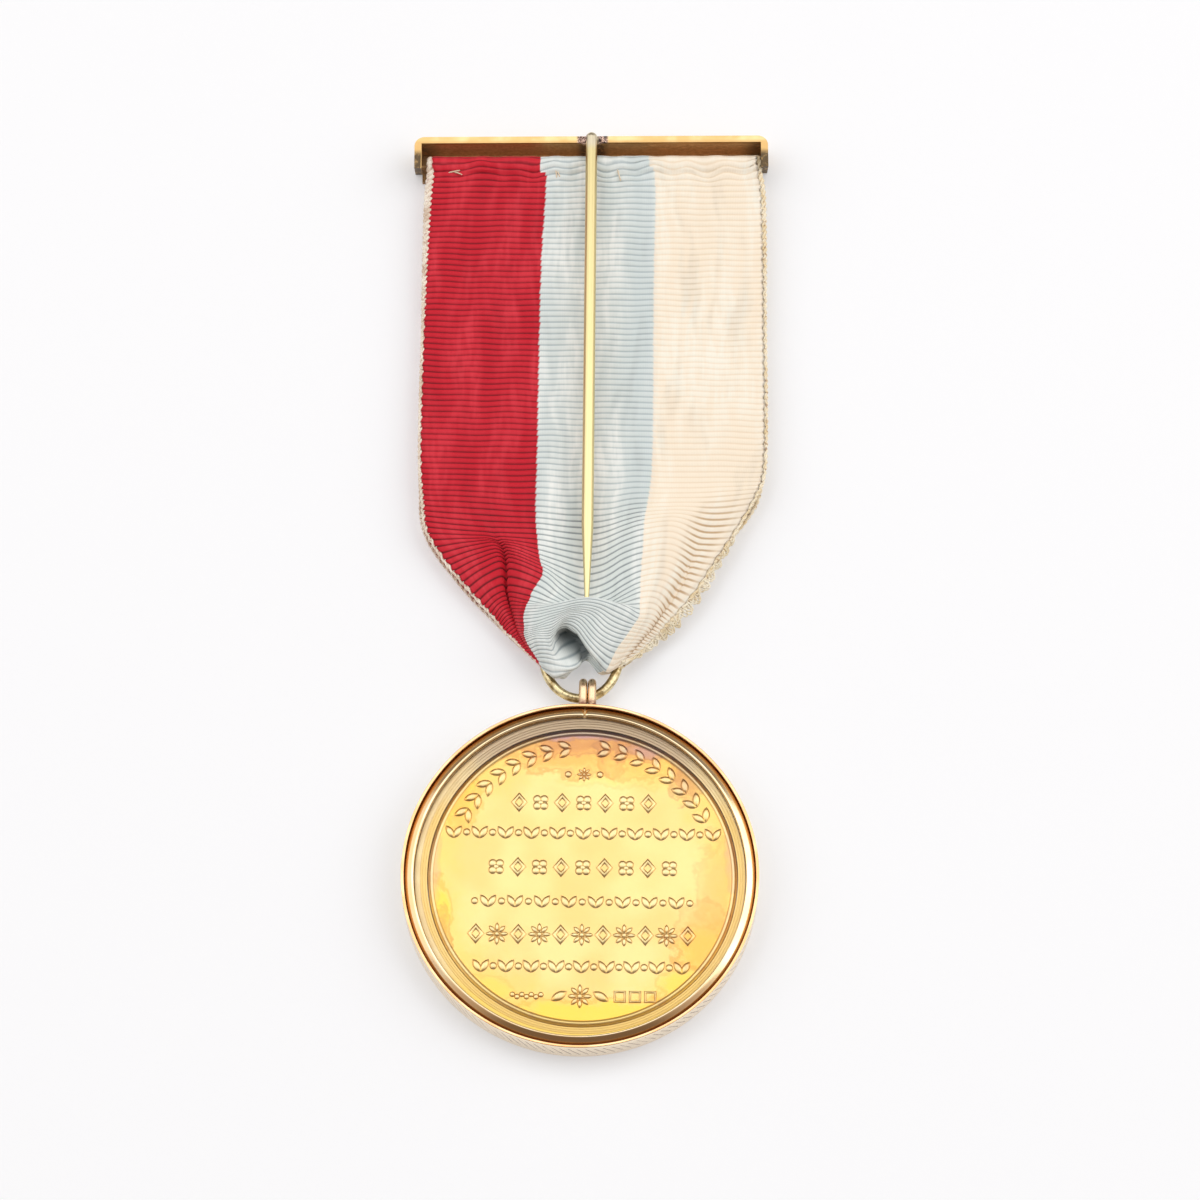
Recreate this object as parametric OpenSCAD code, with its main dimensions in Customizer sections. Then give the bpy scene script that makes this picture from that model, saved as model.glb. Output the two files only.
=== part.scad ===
// Charity jewel on a three-stripe ribbon: a struck disc in a glazed case, hung by a ring and a
// double bail from a ribbon loop that is sewn round the rod of an open-backed brooch bar.
// It lies on its front, so +Z is towards the back, +Y towards the bar and +X to the right of
// someone who looks at the back. The origin is under the middle of the whole jewel.

/* [Case] */
// Outer diameter of the case band
case_d = 38; // [36:0.5:40]
// Height of the case band
case_h = 3.7; // [3.6:0.1:4]
// Width of the thin lip that stands round each bezel
lip_w = 0.33; // [0.3:0.01:0.36]
// Width of each bezel ring
bezel_w = 0.95; // [0.9:0.05:1]
// Width of the saw cut that splits each bezel
bezel_split = 0.22; // [0.15:0.01:0.3]

/* [Glass] */
// Thickness of each glass at its edge
glass_t = 0.5; // [0.4:0.05:0.55]
// Height of each glass's dome
glass_dome = 0.16; // [0.1:0.01:0.18]

/* [Disc] */
// Diameter of the struck disc
disc_d = 32.9; // [32.5:0.1:33]
// Thickness of the disc without its relief
disc_t = 1.1; // [1:0.05:1.15]
// Height of the relief
relief_h = 0.14; // [0.08:0.01:0.16]
// How far the disc sits to the right in its case
disc_shift = 0.28; // [0:0.01:0.3]

/* [Ring and bail] */
// Outer width of the suspension ring
ring_w = 9.1; // [8.9:0.1:9.2]
// Outer length of the suspension ring, a little more than its width
ring_l = 10.2; // [10:0.1:10.4]
// Wire diameter of the suspension ring
ring_wire = 1.0; // [0.9:0.05:1]
// Wire diameter of the two bail loops
bail_wire = 0.92; // [0.85:0.01:0.95]
// How far the bail loops stand out of the case
bail_reach = 3.4; // [3.3:0.05:3.5]

/* [Brooch bar] */
// Length of the bar
bar_l = 39.9; // [39.5:0.1:40.4]
// Height of the bar's front plate, from its top edge down
bar_w = 4.1; // [3.9:0.1:4.3]
// Depth of the bar's rail and ends
bar_d = 3.7; // [3.6:0.1:3.9]
// Thickness of the rail and ends
bar_t = 0.8; // [0.7:0.05:0.9]
// Thickness of the front plate
plate_t = 0.5; // [0.4:0.05:0.55]
// Diameter of the rod that carries the ribbon
rod_d = 0.6; // [0.4:0.05:0.6]
// Turn of the bar against the ribbon, in degrees
bar_skew = 1.08; // [0:0.01:1.2]

/* [Pin] */
// Diameter of the pin
pin_d = 1.3; // [1.1:0.05:1.35]
// Diameter of the pin's blunted tip
pin_tip_d = 0.5; // [0.3:0.05:0.6]
// Length of the pin's taper
pin_taper = 8.6; // [7:0.1:10]
// Whole length of the pin
pin_l = 56.1; // [55:0.1:56.2]
// Slope of the pin down towards its tip, in degrees
pin_slope = 0.3; // [0:0.05:0.35]
// Turn of the pin to the right, in degrees
pin_turn = 0.28; // [0:0.02:0.4]

/* [Ribbon] */
// Thickness of the ribbon's wall
ribbon_t = 1; // [1:0.01:1.05]
// Steps across the ribbon between two guides
across_steps = 2; // [1:1:2]

/* [Hidden] */

gold = [0.93, 0.80, 0.45];
rose_gold = [0.90, 0.66, 0.45];
brass = [0.76, 0.62, 0.30];
crimson = [0.72, 0.07, 0.15];
clear = [0.85, 0.92, 0.95, 0.4];
round_fn = 64;

// Places on the lying jewel
case_y = -34;
bar_y = 52.75;
case_r = case_d / 2;

// Heights in the case, which is the same above and below its middle plane
groove = 0.1;
bezel_out = case_r - lip_w - groove;
bezel_in = bezel_out - bezel_w;
shelf_z = 2.75;
seat_gap = 0.06;
shelf_in = 17.2;
well_r = 16.82;
well_z = case_h / 2 + disc_t / 2 + 0.1;
glass_r = bezel_in + 0.18;
glass_z = shelf_z + seat_gap + 0.04;

// The case band, drawn as radius and height: a thin outer wall with a shelf for each bezel, and
// a well between them that holds the disc
module band_section() {
    low = case_h - shelf_z;
    low_well = case_h - well_z;
    polygon([
        [case_r - 0.08, 0], [case_r, 0.1], [case_r, case_h - 0.1], [case_r - 0.08, case_h],
        [case_r - lip_w, case_h], [case_r - lip_w, shelf_z], [shelf_in, shelf_z],
        [well_r, well_z], [well_r, low_well], [shelf_in, low],
        [case_r - lip_w, low], [case_r - lip_w, 0],
    ]);
}

// Two side-by-side wire loops, soldered to the band, that hold the suspension ring
bail_x = 0.5;
bail_pitch = bail_wire + 0.04;
bail_bend_r = 1.11;
bail_z = case_h / 2;
bail_tip_y = case_y + case_r + bail_reach;

module bail_loop() {
    bend_y = bail_tip_y - bail_wire / 2 - bail_bend_r;
    root_y = case_y + case_r - 0.25;
    translate([0, bend_y, bail_z])
        rotate([90, 0, 90])
            rotate([0, 0, -90])
                rotate_extrude(angle = 180, $fn = round_fn)
                    translate([bail_bend_r, 0])
                        circle(d = bail_wire, $fn = 24);
    for (side = [-1, 1])
        translate([0, root_y, bail_z + side * bail_bend_r])
            rotate([-90, 0, 0])
                cylinder(h = bend_y - root_y, d = bail_wire, $fn = 24);
}

module case_band() {
    color(rose_gold) {
        translate([0, case_y, 0])
            rotate_extrude($fn = 2 * round_fn)
                band_section();
        for (side = [-0.5, 0.5])
            translate([bail_x + side * bail_pitch, 0, 0])
                bail_loop();
    }
}

// A bezel: a split ring with a rounded top, whose inner edge reaches over the glass
module bezel_section() {
    base = shelf_z + seat_gap;
    top = case_h - 0.04;
    reach_z = glass_z + glass_t + 0.05;
    polygon([
        [glass_r + 0.05, base], [bezel_out, base], [bezel_out, top - 0.42],
        [bezel_out - 0.09, top - 0.16], [bezel_out - 0.26, top - 0.03], [bezel_out - 0.45, top],
        [bezel_out - 0.66, top - 0.05], [bezel_out - 0.84, top - 0.16], [bezel_in, top - 0.26],
        [bezel_in, reach_z], [glass_r + 0.05, reach_z],
    ]);
}

module bezel() {
    difference() {
        rotate_extrude($fn = 2 * round_fn)
            bezel_section();
        translate([-bezel_split / 2 + 0.25, bezel_in - 2, 0])
            cube([bezel_split, 5, case_h + 1]);
    }
}

// A glass: flat below and gently domed above
dome_steps = 8;
dome_r = (pow(bezel_in, 2) + pow(glass_dome, 2)) / (2 * glass_dome);

module glass() {
    edge_top = glass_z + glass_t;
    dome = [
        for (i = [0:dome_steps])
            let (r = bezel_in * (1 - i / dome_steps))
            [r, edge_top + glass_dome - dome_r + sqrt(pow(dome_r, 2) - pow(r, 2))],
    ];
    rotate_extrude($fn = 2 * round_fn)
        polygon(concat([[0, glass_z], [glass_r, glass_z], [glass_r, edge_top]], dome));
}

// Puts a piece that was made for the back of the case on the back or the front
module on_back() {
    translate([0, case_y, 0])
        children();
}

module on_front() {
    translate([0, case_y, case_h])
        mirror([0, 0, 1])
            children();
}

module back_bezel() { color(rose_gold) on_back() bezel(); }
module front_bezel() { color(rose_gold) on_front() bezel(); }
module back_glass() { color(clear) on_back() glass(); }
module front_glass() { color(clear) on_front() glass(); }

// Relief motifs, each drawn about its own middle with a height of 1
module pellet(size = 0.5) {
    circle(d = size, $fn = 24);
}

module lozenge() {
    difference() {
        polygon([[-0.42, 0], [0, -0.5], [0.42, 0], [0, 0.5]]);
        polygon([[-0.2, 0], [0, -0.24], [0.2, 0], [0, 0.24]]);
    }
}

module leaf() {
    intersection() {
        translate([0.42, 0]) circle(r = 0.66, $fn = 48);
        translate([-0.42, 0]) circle(r = 0.66, $fn = 48);
    }
}

module leaf_pair() {
    for (side = [-1, 1])
        translate([side * 0.27, 0])
            rotate(-side * 32)
                leaf();
}

module quatrefoil() {
    for (a = [45:90:315])
        rotate(a)
            translate([0.25, 0])
                circle(r = 0.2, $fn = 24);
    circle(r = 0.14, $fn = 24);
}

module rosette(petals = 8) {
    for (i = [0:petals - 1])
        rotate(i * 360 / petals)
            translate([0, 0.34])
                scale(0.42)
                    leaf();
    circle(r = 0.12, $fn = 24);
}

module motif(kind) {
    if (kind == "lozenge") lozenge();
    if (kind == "leaves") leaf_pair();
    if (kind == "quatrefoil") quatrefoil();
    if (kind == "rosette") rosette();
    if (kind == "pellet") pellet();
}

// Straight rows of relief: height of the row on the disc, half its length, height of the
// motifs, how many there are, the motif, and the motif that alternates with it
relief_rows = [
    [11.5, 1.5, 1.2, 3, "pellet", "rosette"],
    [8.2, 6.9, 1.75, 7, "lozenge", "quatrefoil"],
    [4.7, 13.8, 1.15, 21, "leaves", "pellet"],
    [0.9, 9.2, 1.75, 9, "quatrefoil", "lozenge"],
    [-2.8, 11.4, 1.15, 17, "pellet", "leaves"],
    [-6.4, 11.2, 1.75, 11, "lozenge", "rosette"],
    [-9.8, 10.6, 1.2, 17, "leaves", "pellet"],
];

module relief_row(row) {
    for (i = [0:row[3] - 1])
        translate([-row[1] + 2 * row[1] * i / (row[3] - 1), row[0]])
            scale(row[2])
                motif(i % 2 == 0 ? row[4] : row[5]);
}

// The garland along the disc's upper edge, in two halves
garland_r = 14.5;
garland_step = 7.6;

module garland() {
    for (side = [-1, 1])
        for (i = [0:7])
            rotate(side * (8.5 + i * garland_step))
                translate([0, garland_r])
                    rotate(90)
                        scale(1.35)
                            leaf_pair();
}

// A rosette between two leaves, an oval of pellets and three blank cartouches below the rows
foot_y = -13.1;

module foot_marks() {
    translate([-0.1, foot_y])
        scale(2.3)
            rosette();
    for (side = [-1, 1])
        translate([side * 2.2 - 0.1, foot_y])
            rotate(side * 60)
                scale(1.8)
                    leaf();
    for (i = [0:6])
        translate([-7.2 + i * 0.5, foot_y + 0.12 * (i % 2 == 0 ? 1 : -1)])
            pellet(0.55);
    for (i = [0:2])
        translate([4.1 + i * 1.6, foot_y])
            difference() {
                square([1.25, 1.25], center = true);
                square([0.85, 0.85], center = true);
                for (a = [0:90:270])
                    rotate(a)
                        translate([0.625, 0.625])
                            circle(r = 0.16, $fn = 24);
            }
}

module face_relief() {
    for (row = relief_rows)
        relief_row(row);
    garland();
    foot_marks();
}

// The front's relief is a plain wreath round a large rosette
wreath_r = 12.4;
wreath_leaves = 30;

module front_relief() {
    for (i = [0:wreath_leaves - 1])
        rotate(i * 360 / wreath_leaves)
            translate([0, wreath_r])
                rotate(90)
                    scale(2)
                        leaf_pair();
    scale(11)
        rosette();
    for (i = [0:11])
        rotate(15 + i * 30)
            translate([0, 8.6])
                pellet(1.1);
}

rim_w = 0.35;
rim_inset = 0.25;

module disc_face(h) {
    difference() {
        cylinder(h = h, r = disc_d / 2 - rim_inset, $fn = 2 * round_fn);
        translate([0, 0, -1])
            cylinder(h = h + 2, r = disc_d / 2 - rim_inset - rim_w, $fn = 2 * round_fn);
    }
}

module medal_disc() {
    bottom = (case_h - disc_t) / 2;
    sunk = 0.05;
    color(gold)
        translate([disc_shift, case_y, bottom]) {
            cylinder(h = disc_t, d = disc_d, $fn = 2 * round_fn);
            translate([0, 0, disc_t - sunk]) {
                disc_face(relief_h + sunk);
                linear_extrude(relief_h + sunk)
                    face_relief();
            }
            mirror([0, 0, 1])
                translate([0, 0, -sunk]) {
                    disc_face(relief_h + sunk);
                    linear_extrude(relief_h + sunk)
                        mirror([1, 0, 0])
                            front_relief();
                }
        }
}

// The suspension ring: an oval of four arcs in one plane
ring_x = -0.25;
ring_foot_y = -14.3;
ring_z = 1.8;
oval_a = (ring_w - ring_wire) / 2;
oval_b = (ring_l - ring_wire) / 2;
arc_shift = (oval_b - oval_a) / (2 * sin(45) - 1) * sin(45);
end_r = oval_b - arc_shift;
side_r = oval_a + arc_shift;

// An eighth of a turn of wire, from straight ahead round to the left
module wire_arc(radius) {
    rotate_extrude(angle = 45, $fn = 2 * round_fn)
        translate([radius, 0])
            circle(d = ring_wire, $fn = 24);
}

module suspension_ring() {
    color(brass)
        translate([ring_x, ring_foot_y + ring_l / 2, ring_z])
            for (flip_x = [0, 1])
                for (flip_y = [0, 1])
                    mirror([flip_x, 0, 0])
                        mirror([0, flip_y, 0]) {
                            translate([-arc_shift, 0, 0])
                                wire_arc(side_r);
                            translate([0, arc_shift, 0])
                                mirror([1, -1, 0])
                                    wire_arc(end_r);
                        }
}

// The brooch bar: an open-backed tray with a rod between its ends for the ribbon, and a fixed
// pin soldered on the middle of its top rail
rod_drop = 3.05;
rod_z = 2.08;
corner_r = 1.15;
end_top_w = 3.9;
end_low_w = 2.9;
pin_z = bar_d + pin_d / 2 - 0.06;
pin_top_y = bar_y + 0.15;

module tray_outline() {
    translate([-bar_l / 2, -bar_w]) {
        translate([corner_r, 0]) square([bar_l - 2 * corner_r, bar_w]);
        square([bar_l, bar_w - corner_r]);
        for (x = [corner_r, bar_l - corner_r])
            translate([x, bar_w - corner_r])
                circle(r = corner_r, $fn = 48);
    }
}

// What the slanted lower edge of an end leaves away
module end_slant() {
    translate([-bar_l / 2 - 1, 0, 0])
        rotate([90, 0, 90])
            linear_extrude(bar_t + 1)
                polygon([
                    [-end_low_w, -0.1], [-end_top_w, bar_d + 0.1],
                    [-bar_w - 1, bar_d + 0.1], [-bar_w - 1, -0.1],
                ]);
}

module tray() {
    difference() {
        linear_extrude(bar_d)
            tray_outline();
        translate([-bar_l / 2 + bar_t, -bar_w - 1, plate_t])
            cube([bar_l - 2 * bar_t, bar_w + 1 - bar_t, bar_d]);
        for (flip = [0, 1])
            mirror([flip, 0, 0])
                end_slant();
    }
    translate([-bar_l / 2 + bar_t / 2, -rod_drop, rod_z])
        rotate([0, 90, 0])
            cylinder(h = bar_l - bar_t, d = rod_d, $fn = 24);
}

module solder() {
    for (side = [-1, 1])
        translate([side * 0.75, -0.55, bar_d - 0.05])
            scale(0.5)
                sphere(r = 1, $fn = 24);
    translate([-0.75, -0.55, bar_d - 0.05])
        rotate([0, 90, 0])
            cylinder(h = 1.5, r = 0.5, $fn = 24);
}

module pin() {
    shaft = pin_l - pin_taper - pin_d / 2;
    translate([0, pin_top_y - pin_d / 2, pin_z])
        rotate([90 + pin_slope, 0, pin_turn]) {
            sphere(d = pin_d, $fn = 32);
            cylinder(h = shaft, d = pin_d, $fn = 32);
            translate([0, 0, shaft])
                cylinder(h = pin_taper - pin_tip_d / 2, d1 = pin_d, d2 = pin_tip_d, $fn = 32);
            translate([0, 0, shaft + pin_taper - pin_tip_d / 2])
                sphere(d = pin_tip_d, $fn = 32);
        }
}

module brooch_bar() {
    color(brass) {
        translate([-0.05, bar_y, 0])
            rotate([0, 0, bar_skew]) {
                tray();
                solder();
            }
        pin();
    }
}

// The ribbon. A point of its middle surface is worked out from guides that run along it: the
// two selvedges, the borders of the stripes, the creases and the lobes at the ring.
// Columns of the guide tables:
//   left selvedge, red middle, red crease, red border, left lobe, lobe wall, hollow, hollow
//   wall, right lobe, cream border, cream shoulder, cream crease, right selvedge
guide_share = [0, 0.10, 0.19, 0.333, 0.41, 0.455, 0.5, 0.545, 0.59, 0.667, 0.78, 0.88, 1];

// The straight part, from the rod down: distance of the row from the origin, left and right edge,
// height of the edges, height of the middle, share of the bar's skew, steps to the next row
straight_rows = [
    [49.7, -18.7, 18.7, 2.98, 2.98, 1.0, 1],
    [48.6, -18.6, 18.9, 2.72, 2.72, 1.0, 2],
    [46.0, -18.6, 19.5, 2.45, 2.35, 0.9, 2],
    [39.0, -18.7, 19.6, 2.15, 2.00, 0.6, 2],
    [29.0, -18.7, 19.7, 2.10, 1.95, 0.3, 2],
    [19.0, -18.7, 19.9, 2.20, 2.10, 0.1, 2],
    [12.5, -18.5, 19.5, 2.30, 2.25, 0.0, 2],
];

// The gathered part, a row for each section: its steps to the next section, then where each
// guide crosses it. The rows are: above the break, break, crease, border's corner, dive under
// the cowl, cowl's wall, its ridge, behind the ridge, hollow, lobes, over the ring's wire, down its
// inner side, inside the ring, and back under it.
gather_steps = [2, 2, 2, 3, 2, 2, 3, 3, 3, 3, 2, 2, 3, 3];
gather_squeeze = [1, 1, 1, 1, 1, 1, 1, 0.9, 0.7, 0.45, 0.35, 0.3, 0.3, 0.4];
gather_x = [
    [-18.0, -14.7, -10.9, -5.6, -2.9, -1.3, 0.3, 1.9, 3.5, 6.6, 11.0, 14.6, 18.5],
    [-17.4, -13.8,  -9.9, -5.3, -2.7, -1.2, 0.3, 1.8, 3.3, 6.4,  9.8, 12.8, 16.2],
    [-15.5, -12.2,  -9.0, -5.0, -2.7, -1.2, 0.3, 1.8, 3.3, 6.3,  9.2, 11.6, 14.1],
    [-13.3, -11.0,  -8.6, -4.6, -2.6, -1.2, 0.3, 1.8, 3.2, 6.1,  8.6, 10.4, 12.2],
    [-11.3,  -9.9,  -8.5, -5.6, -3.4, -1.7, 0.2, 1.9, 3.4, 6.1,  7.9,  9.1, 10.3],
    [-10.5,  -9.4,  -8.3, -5.9, -3.9, -2.0, 0.1, 2.0, 3.6, 6.0,  7.5,  8.5,  9.6],
    [ -9.6,  -8.9,  -8.0, -6.2, -4.5, -2.4, 0.0, 2.0, 3.8, 5.9,  7.1,  7.9,  8.9],
    [ -8.5,  -7.9,  -7.4, -6.4, -4.5, -2.8, -1.0, 0.7, 2.4, 4.9, 6.2,  7.1,  8.0],
    [ -7.5,  -7.1,  -6.8, -6.1, -4.5, -3.0, -1.3, 0.4, 1.9, 4.0, 5.2,  6.1,  6.9],
    [ -6.4,  -6.1,  -5.8, -5.3, -4.1, -2.8, -1.2, 0.4, 1.9, 3.4, 4.3,  5.1,  5.8],
    [ -5.1,  -4.9,  -4.7, -4.2, -3.4, -2.4, -0.9, 0.7, 2.0, 2.9, 3.5,  4.1,  4.7],
    [ -3.6,  -3.5,  -3.4, -3.0, -2.4, -1.8, -0.7, 0.6, 1.6, 2.3, 2.7,  3.0,  3.3],
    [-3.05, -2.90, -2.75, -2.45, -2.05, -1.50, -0.50, 0.50, 1.30, 1.80, 2.10, 2.35, 2.50],
    [ -4.1,  -3.9,  -3.6, -3.1, -2.3, -1.6, -0.4, 0.6, 1.5, 2.3, 3.0,  3.5,  4.0],
];
gather_y = [
    [ 8.9,  8.7,  8.5,  8.2,  8.1,  8.0,  8.0,  8.1,  8.3,  8.6,  8.7,  9.0,  9.3],
    [ 5.4,  5.0,  4.7,  4.5,  4.2,  4.0,  3.9,  4.2,  4.7,  5.7,  6.0,  5.1,  5.2],
    [2.1, 3.0, 3.4, 1.8, 1.0, 0.6, 0.4, 0.8, 1.4, 2.7, 3.0, 2.2, 1.9],
    [-0.6, 0.7, 1.7, -0.4, -1.8, -2.6, -3.0, -2.7, -2.1, -0.4, 0.1, -0.6, -1.2],
    [-2.8, -1.8, -1.2, -2.4, -3.5, -3.9, -4.0, -3.9, -3.6, -2.4, -2.2, -2.9, -3.7],
    [-3.7, -2.8, -2.3, -3.5, -4.3, -4.3, -4.2, -4.3, -4.5, -3.8, -3.4, -3.8, -4.5],
    [-4.7, -3.8, -3.5, -4.4, -4.8, -4.8, -4.8, -5.0, -5.3, -5.0, -4.6, -4.8, -5.3],
    [-5.7, -5.3, -5.2, -6.0, -6.3, -6.2, -6.0, -6.1, -6.4, -6.7, -6.2, -6.2, -6.4],
    [-7.1, -6.9, -6.8, -7.4, -7.8, -7.7, -7.1, -7.1, -7.3, -7.5, -7.4, -7.3, -7.4],
    [-8.5, -8.5, -8.7, -9.2, -9.8, -9.6, -8.7, -8.6, -9.0, -9.0, -8.9, -8.7, -8.6],
    [-10.10, -10.10, -10.10, -10.15, -10.30, -10.40, -9.70, -9.50, -10.10, -10.00, -9.95, -9.90, -9.90],
    [-10.60, -10.60, -10.60, -10.70, -10.95, -11.10, -10.20, -10.10, -10.90, -10.80, -10.70, -10.70, -10.70],
    [-10.60, -10.65, -10.70, -10.85, -11.25, -11.30, -10.30, -10.20, -11.00, -10.90, -10.80, -10.75, -10.70],
    [-10.00, -10.00, -10.05, -10.30, -10.60, -10.40, -9.50, -9.50, -10.20, -10.20, -10.05, -9.90, -9.85],
];
gather_z = [
    [2.30, 2.40, 2.50, 2.60, 2.50, 2.40, 2.35, 2.40, 2.55, 2.80, 2.90, 2.60, 2.40],
    [2.30, 2.60, 2.85, 2.90, 2.75, 2.60, 2.50, 2.60, 2.80, 3.30, 3.40, 2.60, 2.30],
    [2.20, 2.55, 2.70, 3.30, 3.05, 2.80, 2.65, 2.75, 3.05, 3.50, 3.55, 2.60, 2.25],
    [2.10, 2.40, 1.95, 3.90, 3.50, 3.05, 2.85, 3.00, 3.30, 3.65, 3.60, 2.50, 2.20],
    [2.05, 2.15, 1.90, 4.00, 3.75, 3.40, 3.25, 3.30, 3.55, 3.85, 3.70, 2.45, 2.15],
    [2.05, 2.10, 1.90, 4.15, 4.50, 4.40, 4.40, 4.40, 4.50, 4.25, 3.80, 2.45, 2.15],
    [2.05, 2.10, 2.00, 4.20, 4.95, 5.20, 5.25, 5.25, 5.15, 4.50, 3.85, 2.50, 2.15],
    [2.00, 2.10, 2.35, 3.75, 4.90, 4.90, 4.60, 4.95, 5.15, 4.45, 3.80, 2.60, 2.10],
    [2.00, 2.35, 2.75, 3.60, 4.65, 4.20, 3.30, 4.00, 4.75, 4.20, 3.50, 2.80, 2.30],
    [2.60, 2.85, 3.10, 3.50, 4.20, 3.85, 2.95, 3.50, 4.25, 3.95, 3.40, 3.05, 2.85],
    [3.10, 3.10, 3.10, 3.20, 3.45, 3.10, 2.30, 2.70, 3.40, 3.25, 3.15, 3.10, 3.10],
    [2.65, 2.70, 2.75, 2.80, 2.70, 2.35, 1.90, 2.20, 2.60, 2.75, 2.75, 2.70, 2.65],
    [1.80, 1.80, 1.80, 1.80, 1.75, 1.65, 1.50, 1.60, 1.75, 1.80, 1.80, 1.80, 1.80],
    [0.55, 0.55, 0.55, 0.55, 0.55, 0.55, 0.55, 0.55, 0.55, 0.55, 0.55, 0.55, 0.55],
];

// The front layer, from the ring back up to the rod: distance of the row's edges and of its
// middle from the origin, left and right edge, height, share of the bar's skew, steps
front_rows = [
    [-5.8, -6.6,  -8.5,  9.4, 0.55, 0.0, 2],
    [-0.6, -1.4, -13.3, 13.7, 0.55, 0.0, 2],
    [ 5.2,  4.6, -17.3, 17.1, 0.55, 0.0, 2],
    [11.0, 11.0, -18.4, 19.5, 0.55, 0.0, 2],
    [22.0, 22.0, -18.6, 19.8, 0.55, 0.2, 2],
    [37.0, 37.0, -18.6, 19.6, 0.55, 0.6, 2],
    [45.0, 45.0, -18.6, 19.3, 0.58, 0.9, 2],
    [47.4, 47.4, -18.6, 19.1, 1.02, 1.0, 2],
    [48.7, 48.7, -18.6, 18.9, 1.18, 1.0, 1],
    [49.7, 49.7, -18.7, 18.7, 1.18, 1.0, 1],
];
fold_turns = [150, 120, 90, 60, 30];
fold_r = 0.9;
rod_y = bar_y - rod_drop;

function mix(a, b, t) = a + (b - a) * t;
function skewed(y, x, share) = y + share * x * tan(bar_skew);

function straight_section(row) = [
    for (g = guide_share)
        let (x = mix(row[1], row[2], g), bow = 1 - pow(2 * g - 1, 2))
        [x, skewed(row[0], x, row[5]), mix(row[3], row[4], bow)],
];

function gather_section(i) = [
    for (g = [0:len(guide_share) - 1]) [gather_x[i][g], gather_y[i][g], gather_z[i][g]],
];

function front_section(row) = [
    for (g = guide_share)
        let (x = mix(row[2], row[3], g), bow = 1 - pow(2 * g - 1, 2))
        [x, skewed(mix(row[0], row[1], bow), x, row[5]), row[4]],
];

// The turn of the ribbon round the rod
function fold_section(turn) = [
    for (g = guide_share)
        let (x = mix(-18.7, 18.7, g))
        [x, skewed(rod_y + fold_r * sin(turn), x, 1), rod_z + fold_r * cos(turn)],
];

sections = concat(
    [for (row = straight_rows) straight_section(row)],
    [for (i = [0:len(gather_x) - 1]) gather_section(i)],
    [for (row = front_rows) front_section(row)],
    [for (turn = fold_turns) fold_section(turn)]
);
section_steps = concat(
    [for (row = straight_rows) row[6]],
    gather_steps,
    [for (row = front_rows) row[6]],
    [for (turn = fold_turns) 1]
);

// A smooth curve through four values in a row, between the middle two
function spline(a, b, c, d, t) =
    b + t * ((c - a) / 2
        + t * ((2 * a - 5 * b + 4 * c - d) / 2 + t * (3 * b - 3 * c + d - a) / 2));

function clamped(i, n) = max(0, min(n - 1, i));

function across(section) =
    let (n = len(section))
    [
        for (g = [0:n - 2])
            for (k = [0:across_steps - 1])
                spline(section[clamped(g - 1, n)], section[g], section[g + 1],
                       section[clamped(g + 2, n)], k / across_steps),
        section[n - 1],
    ];

fine_sections = [for (section = sections) across(section)];

function along(n, i, k, j, steps) =
    spline(fine_sections[(i + n - 1) % n][j], fine_sections[i][j], fine_sections[(i + 1) % n][j],
           fine_sections[(i + 2) % n][j], k / steps);

ribbon_grid =
    let (n = len(fine_sections), m = len(fine_sections[0]))
    [
        for (i = [0:n - 1])
            for (k = [0:section_steps[i] - 1])
                [for (j = [0:m - 1]) along(n, i, k, j, section_steps[i])],
    ];

// The wall is thinner where the ribbon is squeezed through the ring
section_squeeze = concat(
    [for (row = straight_rows) 1],
    gather_squeeze,
    [for (row = front_rows) 1],
    [for (turn = fold_turns) 1]
);
ribbon_thickness =
    let (n = len(sections))
    [
        for (i = [0:n - 1])
            for (k = [0:section_steps[i] - 1])
                ribbon_t * mix(section_squeeze[i], section_squeeze[(i + 1) % n],
                               k / section_steps[i]),
    ];

function unit(v) = v / norm(v);

// The side of the middle surface that faces out of the loop, smoothed over a few steps
smooth_run = 1;
smooth_weft = 2;

function outward(grid, i, j) =
    let (
        n = len(grid),
        m = len(grid[0]),
        run = grid[(i + smooth_run) % n][j] - grid[(i + n - smooth_run) % n][j],
        weft = grid[i][clamped(j + smooth_weft, m)] - grid[i][clamped(j - smooth_weft, m)]
    )
    unit(cross(run, weft));

function wall_points(grid, thickness, side) = [
    for (i = [0:len(grid) - 1])
        for (j = [0:len(grid[0]) - 1])
            grid[i][j] + outward(grid, i, j) * side * thickness[i] / 2,
];

// Two triangles for the four corners a, b, c, d of a cell
function cell(a, b, c, d) = [[a, b, c], [a, c, d]];

module closed_loop_wall(grid, thickness) {
    n = len(grid);
    m = len(grid[0]);
    inner = n * m;
    faces = [
        for (i = [0:n - 1])
            let (a = i * m, b = ((i + 1) % n) * m)
            each concat(
                [for (j = [0:m - 2]) each cell(a + j, b + j, b + j + 1, a + j + 1)],
                [for (j = [0:m - 2])
                    each cell(inner + a + j, inner + a + j + 1, inner + b + j + 1, inner + b + j)],
                cell(a, inner + a, inner + b, b),
                cell(a + m - 1, b + m - 1, inner + b + m - 1, inner + a + m - 1)
            ),
    ];
    points = concat(wall_points(grid, thickness, 1), wall_points(grid, thickness, -1));
    polyhedron(points, faces, convexity = 8);
}

module ribbon() {
    color(crimson)
        closed_loop_wall(ribbon_grid, ribbon_thickness);
}

brooch_bar();
ribbon();
suspension_ring();
case_band();
back_bezel();
front_bezel();
back_glass();
front_glass();
medal_disc();
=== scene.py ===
# The looks of the charity jewel: woven ribbon with its selvedges and stitches, worn brass and gilt,
# glass and the toned disc. Sizes are in millimetres until a mesh is made, in the part's own frame:
# +Z up and towards the jewel's back, +Y towards the brooch bar, +X to the right.
import math

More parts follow.
